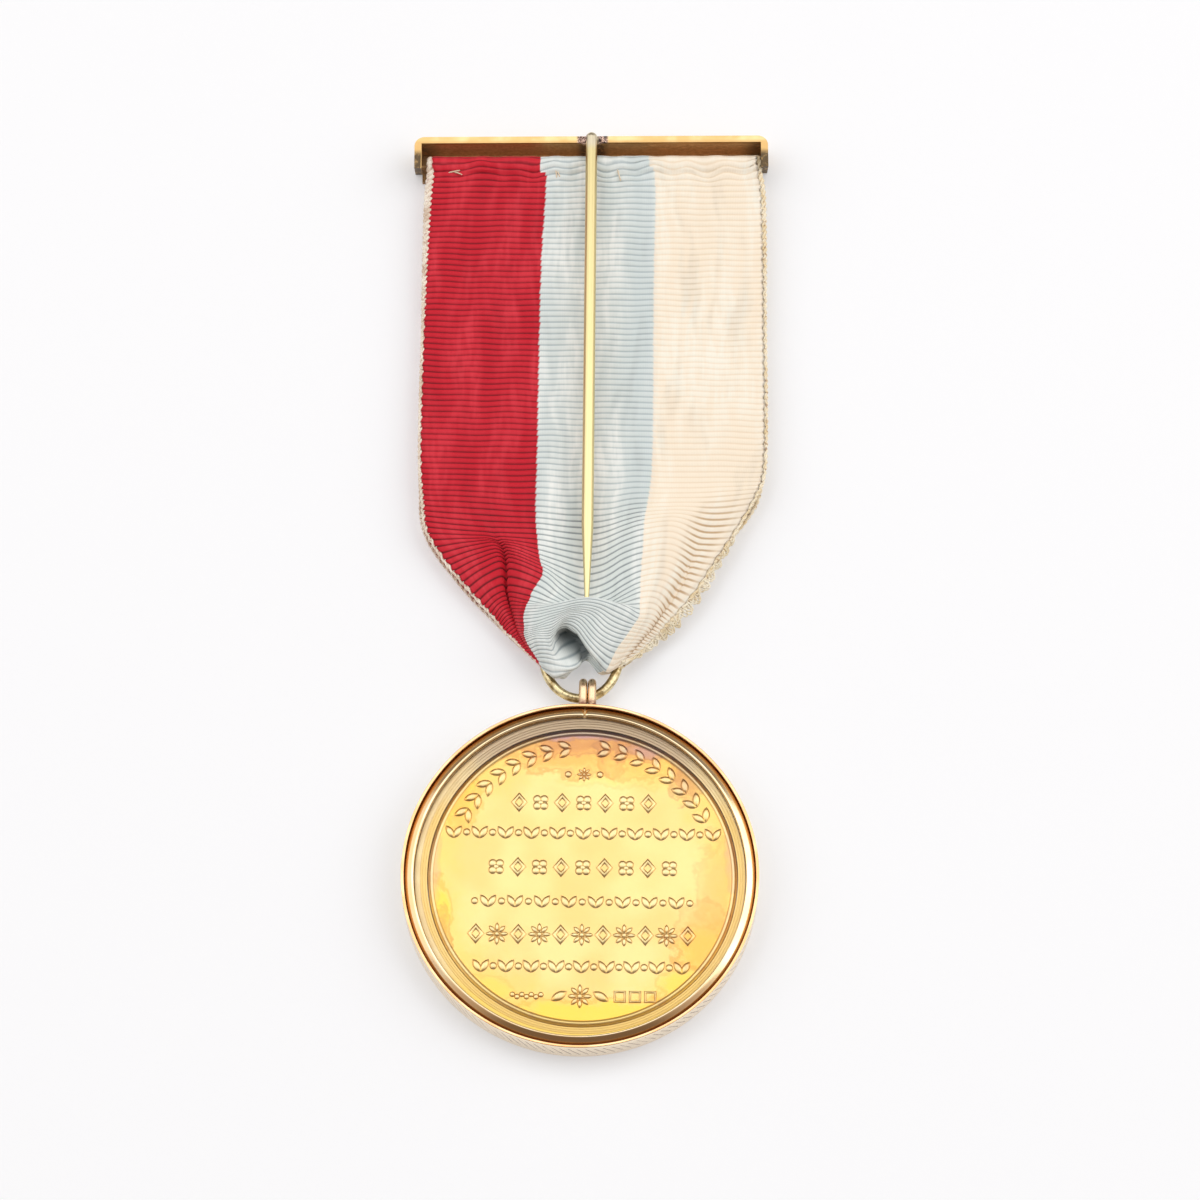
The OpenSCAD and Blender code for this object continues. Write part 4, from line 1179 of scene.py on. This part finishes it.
def brooch_finish():
    f, place, x, y, z, marks = metal("brooch_brass")
    broad = f.noise(place, 0.5, 2.0)
    spot = f.noise(place, 2.2, 3.0, 0.6)
    fine = f.noise(place, 6.0, 2.0)
    out_x = abs(x - BAR_X)
    up = y - (x - BAR_X) * math.tan(BAR_SKEW) - BAR_Y
    pin_x = abs(x - PIN_X)

    # bright outside, darker brown along the rail's lower edge
    bright = f.mix(broad.step(0.35, 0.7), rgb(220, 182, 120), rgb(234, 204, 148))
    brown_edge = up.step(-0.40, -0.72) * (f.noise(f.vector(x * 0.35, 0.0), 1.0, 2.0) * 0.8 + 0.35)
    bright = f.mix(brown_edge * z.step(BAR_D - 0.3, BAR_D - 0.05), bright, rgb(204, 164, 106))

    # tarnished in the tray and darkened there by painted shade, and dark in its corners and next to the
    # pin, partly solder and fire-scale and partly painted shade
    wall = out_x.step(BAR_L / 2 - 0.74, BAR_L / 2 - 0.84)
    tarnish_and_shade = z.step(BAR_D - 0.12, BAR_D - 0.70) * up.step(-0.74, -0.80) * wall
    streak = f.noise(f.vector(x * 0.5, z * 6.0), 1.0, 3.0, 0.6)
    aged_and_shaded = f.layers(
        rgb(198, 152, 100),
        ((streak * 0.35 + spot * 0.65).step(0.30, 0.70), rgb(230, 186, 130)),
        (out_x.step(BAR_L / 2 - 3.2, BAR_L / 2 - 0.9) * spot.step(0.3, 0.5) * 0.6, rgb(74, 56, 36)),
        (pin_x.step(2.0, 1.0) * spot.step(0.32, 0.5) * 0.7, rgb(70, 50, 44)))

    # the pin: grey-beige at its root, then a pale gold that brightens a little towards its tip
    shaft = pin_x.step(1.0, 0.9) * z.step(3.75, 3.85)
    along = f.layers(
        rgb(220, 204, 150),
        (y.step(30.0, 5.0), rgb(222, 208, 156)),
        (y.step(50.4, 51.4), rgb(216, 204, 176)))

    # the lump of solder on both sides of the pin's root, dark with painted highlights in pale flecks, and
    # the bar's dull ends
    lump = pin_x.step(1.9, 1.5) * pin_x.step(0.5, 0.75) * up.step(-1.25, -0.9)
    lump = lump * z.step(BAR_D - 0.4, BAR_D - 0.1)
    solder_with_glints = f.layers(
        rgb(104, 76, 74),
        (fine.step(0.42, 0.58), rgb(232, 200, 182)),
        (spot.step(0.52, 0.6), rgb(64, 46, 44)))
    ends = wall.step(0.9, 0.1) * up.step(-1.5, -2.4)

    colour = f.layers(
        bright,
        (tarnish_and_shade, aged_and_shaded),
        (shaft, along),
        (lump * spot.step(0.22, 0.42), solder_with_glints),
        (ends * spot.step(0.2, 0.5), rgb(104, 86, 62)))
    dull = (lump + ends).least(1.0)
    rough = 0.24 + tarnish_and_shade * 0.2 + marks * 0.12 + dull * 0.22
    return f.surface(base_color=colour, metallic=1.0 - tarnish_and_shade * 0.5 - dull * 0.3, roughness=rough,
                     normal=f.bump(marks * 0.3 + spot * (tarnish_and_shade + dull * 2.0), 0.03, 0.5))


def ring_finish():
    f, place, _, _, _, marks = metal("ring_brass")
    patch = f.noise(place, 1.1, 3.0, 0.6)
    spot = f.noise(place, 4.0, 2.0)
    colour = f.layers(
        rgb(152, 126, 82),
        (patch.step(0.34, 0.62), rgb(230, 214, 168)),
        (spot.step(0.58, 0.70) * 0.6, rgb(112, 84, 56)))
    return f.surface(base_color=colour, metallic=1.0, roughness=0.24 + marks * 0.12,
                     normal=f.bump(marks + spot * 0.5, 0.02, 0.3))


# The hatch round the case's side: strokes to a millimetre and their slant
HATCH_COUNT = 1.1
HATCH_SLANT = 0.6


def case_finish():
    f, place, x, y, z, marks = metal("case_gilt")
    broad = f.noise(place, 0.35, 1.0)
    spot = f.noise(place, 3.0, 3.0, 0.6)
    out = distance(x, y - CASE_Y)
    # the bail is paler, with a reddish tarnish round its foot
    bail = y.step(BAIL_ROOT_Y - 0.02, BAIL_ROOT_Y + 0.06)
    foot = y.step(BAIL_ROOT_Y + 0.9, BAIL_ROOT_Y + 0.1) * bail * spot.step(0.3, 0.55)
    # an even slanted hatch, worn away in places, round the side up to the bail
    along = f.value("ARCTAN2", y - CASE_Y, x) * CASE_R
    worn = f.noise(f.vector(along * 0.3, z * 0.3), 1.0, 2.0).step(0.25, 0.55)
    stroke = ((along + z * HATCH_SLANT) * HATCH_COUNT).frac().step(0.22, 0.10) * worn
    stroke = stroke * z.step(0.8, 1.1) * z.step(3.1, 2.8) * out.step(CASE_R - 0.03, CASE_R - 0.005)
    stroke = stroke * y.step(BAIL_ROOT_Y - 1.5, BAIL_ROOT_Y - 2.5)
    colour = f.layers(
        rgb(248, 190, 134),
        (broad.step(0.35, 0.68), rgb(255, 214, 164)),
        # painted reflection of the bright floor: the side paler
        (out.step(CASE_R - 0.045, CASE_R - 0.01), rgb(252, 236, 210)),
        # painted shade: darker inside the lip, in the groove by the bezel
        (out.step(LIP_IN + 0.06, LIP_IN - 0.02), rgb(196, 160, 112)),
        (bail, rgb(224, 194, 158)),
        (foot * 0.85, rgb(120, 62, 52)),
        (stroke * 0.75, rgb(142, 94, 68)))
    rough = 0.2 + marks * 0.1 + foot * 0.25
    return f.surface(base_color=colour, metallic=1.0 - foot * 0.4, roughness=rough,
                     normal=f.bump(marks * 0.2 - stroke, 0.05, 0.7))


def bezel_finish():
    f, place, x, y, _, marks = metal("bezel_gilt")
    broad = f.noise(place, 0.3, 1.0)
    out = distance(x, y - CASE_Y)
    # painted shade: brown in the groove at its foot, and over the outer slope below and at the left, away
    # from the light
    below, left = (y - CASE_Y).step(-8.0, -14.0), x.step(-11.0, -16.0)
    slope_shade = out.step(BEZEL_IN + 0.10, BEZEL_IN + 0.33) * below.most(left * 0.8)
    slope_shade = slope_shade * (broad * 0.5 + 0.7).least(1.0)
    colour = f.layers(
        rgb(248, 220, 172),
        (broad.step(0.35, 0.68), rgb(255, 236, 198)),
        (out.step(BEZEL_OUT - 0.27, BEZEL_OUT - 0.02), rgb(206, 150, 92)),
        (slope_shade * 0.75, rgb(192, 136, 78)))
    return f.surface(base_color=colour, metallic=1.0, roughness=0.12 + marks * 0.08,
                     normal=f.bump(marks, 0.012, 0.3))


def seat_finish():
    """Pale at the sides; golden below and on the inner steps, a painted reflection of the gold disc;
    brown above, a painted reflection of the glass's edge.
    """
    f, place, x, y, z, marks = metal("seat_gilt")
    broad = f.noise(place, 0.4, 2.0)
    up = (y - CASE_Y) / SEAT_R
    # painted reflection of the gold disc on the inner steps, but not at the top, where the brown is
    # painted
    disc_reflection = distance(x - DISC_X, y - CASE_Y).step(17.28, 17.15) * up.step(0.62, 0.35)
    colour = f.layers(
        rgb(242, 212, 160),
        (broad.step(0.35, 0.68), rgb(250, 226, 176)),
        # painted reflection of the gold disc below
        (up.step(-0.50, -0.80), rgb(252, 214, 112)),
        # painted reflection of the glass's edge: brown at the top
        ((up + (broad - 0.5) * 0.3).step(0.62, 0.86), rgb(216, 190, 158)),
        (disc_reflection * 0.85, rgb(250, 212, 130)))
    line = (z * 14.0).frac()
    colour = f.times(colour, 1.0 - (line.step(0.2, 0.0) + line.step(0.8, 1.0)) * 0.06)
    return f.surface(base_color=colour, metallic=0.85, roughness=0.42 + marks * 0.1)


# Toned places on the disc's back, by tone and colour of their tide lines: middle, half width,
# half height and strength
TONED = [
    [rgb(255, 206, 82), rgb(228, 158, 54), [
        [-13.6, 8.8, 2.4, 3.4, 0.8], [-15.2, -5.0, 1.6, 4.6, 0.85], [1.5, -15.2, 10.5, 1.9, 0.85],
        [4.0, 12.5, 10.0, 2.6, 0.35], [11.5, -12.0, 3.4, 2.2, 0.7], [13.2, -7.5, 3.6, 2.4, 0.7],
        [-10.0, -12.6, 3.0, 1.6, 0.5]]],
    [rgb(238, 170, 92), rgb(204, 124, 66), [
        [-1.5, 14.0, 7.5, 2.8, 0.8], [6.5, 13.2, 5.0, 2.4, 0.6], [14.6, -1.0, 2.4, 5.5, 0.45],
        [12.8, -6.5, 3.6, 3.6, 0.55], [-13.4, 8.6, 1.8, 2.6, 0.5]]],
    [rgb(192, 132, 88), rgb(144, 94, 78), [
        [-2.0, 15.3, 7.0, 1.9, 0.7], [5.8, 14.6, 4.6, 1.9, 0.6], [11.2, 11.2, 2.0, 2.8, 0.65],
        [-14.9, -6.4, 1.2, 2.6, 0.5]]],
    [rgb(174, 138, 146), rgb(142, 104, 112), [
        [-1.0, 16.0, 7.0, 0.8, 0.75], [8.0, 14.2, 3.6, 0.9, 0.5], [-15.9, 2.0, 0.8, 7.0, 0.3],
        [15.9, 4.0, 0.8, 6.0, 0.3]]],
]


def disc_finish():
    f, place, x, y, z, marks = metal("disc_gold")
    x, y = x - DISC_X, y - CASE_Y
    cloud = f.noise(place, 0.55, 4.0, 0.62)
    soft = f.noise(place, 0.16, 1.0)
    grain = f.noise(place, 7.0, 2.0, 0.6)
    near_edge = distance(x, y) + (cloud - 0.5) * 7.0
    colour = f.layers(
        rgb(238, 200, 126),
        (soft.step(0.35, 0.65), rgb(244, 212, 142)),
        (near_edge.step(11.0, 16.5) * 0.6, rgb(250, 198, 96)))

    # stained places, with a darker tide line round each
    for tone, rim, patches in TONED:
        for at_x, at_y, wide, high, strength in patches:
            reach = distance((x - at_x) / wide, (y - at_y) / high)
            reach = reach + (cloud - 0.5) * 1.7 + (grain - 0.5) * 0.2
            tide = reach.step(1.12, 0.98) * reach.step(0.80, 0.94)
            stain = reach.step(1.1, 0.5) * strength
            colour = f.layers(colour, (stain, tone), (tide * strength * 0.45, rim))

    # brown at the foot of the relief, partly patina and partly painted shade, and a painted highlight on
    # top
    level = abs(z - FACE_Z) - (FIELD_Z - FACE_Z)
    foot = level.step(0.0, 0.010) * level.step(0.095, 0.03)
    relief_highlight = level.step(0.11, 0.135)
    colour = f.layers(colour, (foot * 0.62, rgb(180, 120, 72)), (relief_highlight * 0.35, rgb(255, 248, 206)))
    return f.surface(base_color=colour, metallic=1.0, roughness=0.28 + marks * 0.10 + relief_highlight * 0.05,
                     normal=f.bump(marks * 0.6 + grain * 0.4, 0.010, 0.5))


def glass_finish():
    f = Finish("clear_glass")
    place = f.place()
    haze = f.noise(place, 1.5, 3.0, 0.6)
    clear = f.add("ShaderNodeBsdfTransparent", {"Color": (0.985, 0.99, 0.985)})
    gloss = f.add("ShaderNodeBsdfPrincipled", {"Base Color": (0.9, 0.93, 0.93), "Roughness": 0.04,
                                               "Metallic": 0.0, "IOR": 1.5})
    view = f.add("ShaderNodeLayerWeight", {"Blend": 0.12}, out="Fresnel")
    share = view * 0.5 + haze.step(0.45, 0.8) * 0.015 + 0.01
    f.add_output(f.add("ShaderNodeMixShader", {0: share, 1: clear, 2: gloss}))
    return f.material


# Making the pieces
ribbon = ribbon_piece(ribbon_finish())
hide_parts("ribbon")
last_column = len(column_share) - 1
threads = [
    selvedge_piece("left_selvedge", 0, 1, LEFT_BULK, thread_finish("left_thread")),
    selvedge_piece("right_selvedge", last_column, -1, RIGHT_BULK, thread_finish("right_thread")),
    picot_piece(last_column, thread_finish("picot_thread")),
    stitch_piece(thread_finish("knot_thread")),
]

brooch = worn_copy("brooch_bar", "brooch_bar_worn", 0.10, brooch_finish())
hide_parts("brooch_bar")

bails = [bail_loop(BAIL_X + side * BAIL_PITCH / 2) for side in (-1, 1)]
metal_piece("case_band_gilt", [band_shape(), *bails], case_finish(), "case_metal", "case_band")
seat_gilt = seat_finish()
metal_piece("back_seat", [seat_shape()], seat_gilt, "case_metal")
metal_piece("front_seat", [flipped(seat_shape())], seat_gilt, "case_metal")
bezel_gilt = bezel_finish()
metal_piece("back_bezel_gilt", [bezel_shape()], bezel_gilt, "case_metal", "back_bezel")
metal_piece("front_bezel_gilt", [flipped(bezel_shape())], bezel_gilt, "case_metal", "front_bezel")
metal_piece("struck_disc", struck_shapes(), disc_finish(), "disc_metal", "medal_disc")
dress("suspension_ring", ring_finish())
glass = glass_finish()
dress("back_glass", glass)
dress("front_glass", glass)


# Stage: floor in metres, and the photo's camera with its focal length and frame in pixels
FLOOR_SIZE = 3.0
VIEW_TILT = math.radians(20.4)
VIEW_TURN = math.radians(0.78)
VIEW_PLACE = Vector((3.9, -164.4, 437.4)) * MM
PHOTO_FOCUS = 4269
PHOTO_SIDE = 1200
SENSOR = 36.0

camera_data = bpy.data.cameras.new("camera")
camera_data.sensor_width = SENSOR
camera_data.lens = SENSOR * PHOTO_FOCUS / PHOTO_SIDE
camera_data.clip_start = 0.01
camera_data.clip_end = 10
camera = bpy.data.objects.new("camera", camera_data)
camera.location = VIEW_PLACE
camera.rotation_euler = (VIEW_TILT, 0, VIEW_TURN)
bpy.context.collection.objects.link(camera)
bpy.context.scene.camera = camera


def floor():
    f = Finish("pale_floor")
    material = f.surface(base_color=(0.72, 0.725, 0.735), roughness=0.8, specular_ior_level=0.1,
                         emission_color=(0.98, 0.98, 1.0), emission_strength=0.27)
    bpy.ops.mesh.primitive_plane_add(size=FLOOR_SIZE, location=(0, 0, -0.02 * MM))
    plane = bpy.context.object
    plane.name = "floor"
    plane.data.materials.append(material)


# Lights over the table: place and size in metres, and power
LIGHTS = {
    "left_softbox": [(-0.65, 0.2, 0.6), (0.8, 1.0), 2.2],
    "right_softbox": [(0.65, 0.15, 0.5), (0.8, 1.0), 2.7],
    "top_softbox": [(0.0, 0.38, 1.0), (0.9, 0.6), 1.5],
}


def soft_light(name, place, size, power):
    """A rectangular light that is turned towards the jewel."""
    data = bpy.data.lights.new(name, "AREA")
    data.shape = "RECTANGLE"
    data.size, data.size_y = size
    data.energy = power
    light = bpy.data.objects.new(name, data)
    light.location = place
    light.rotation_euler = (-Vector(place)).to_track_quat("-Z", "Y").to_euler()
    bpy.context.collection.objects.link(light)


floor()
for name, light in LIGHTS.items():
    soft_light(name, *light)

# The studio round the table: bright over it and at both sides, darker before and behind it
world = bpy.data.worlds.new("studio")
world.use_nodes = True
sky = Finish("studio", world.node_tree)
east, north, rise = sky.parts(sky.add("ShaderNodeTexCoord", out="Generated"))
beside = (abs(east) / (east * east + north * north + 0.001) ** 0.5).step(0.55, 0.92)
over = (north * 0.35 + rise * 0.94).step(0.86, 0.965)
bright = over.most(beside * rise.step(0.22, 0.48))
glow = sky.mix(bright, (0.27, 0.23, 0.20), (0.86, 0.86, 0.87))
backdrop = sky.add("ShaderNodeBackground", {"Color": glow, "Strength": 1.0})
sky.add_output(backdrop, "ShaderNodeOutputWorld")
bpy.context.scene.world = world
bpy.context.scene.view_settings.view_transform = "Standard"
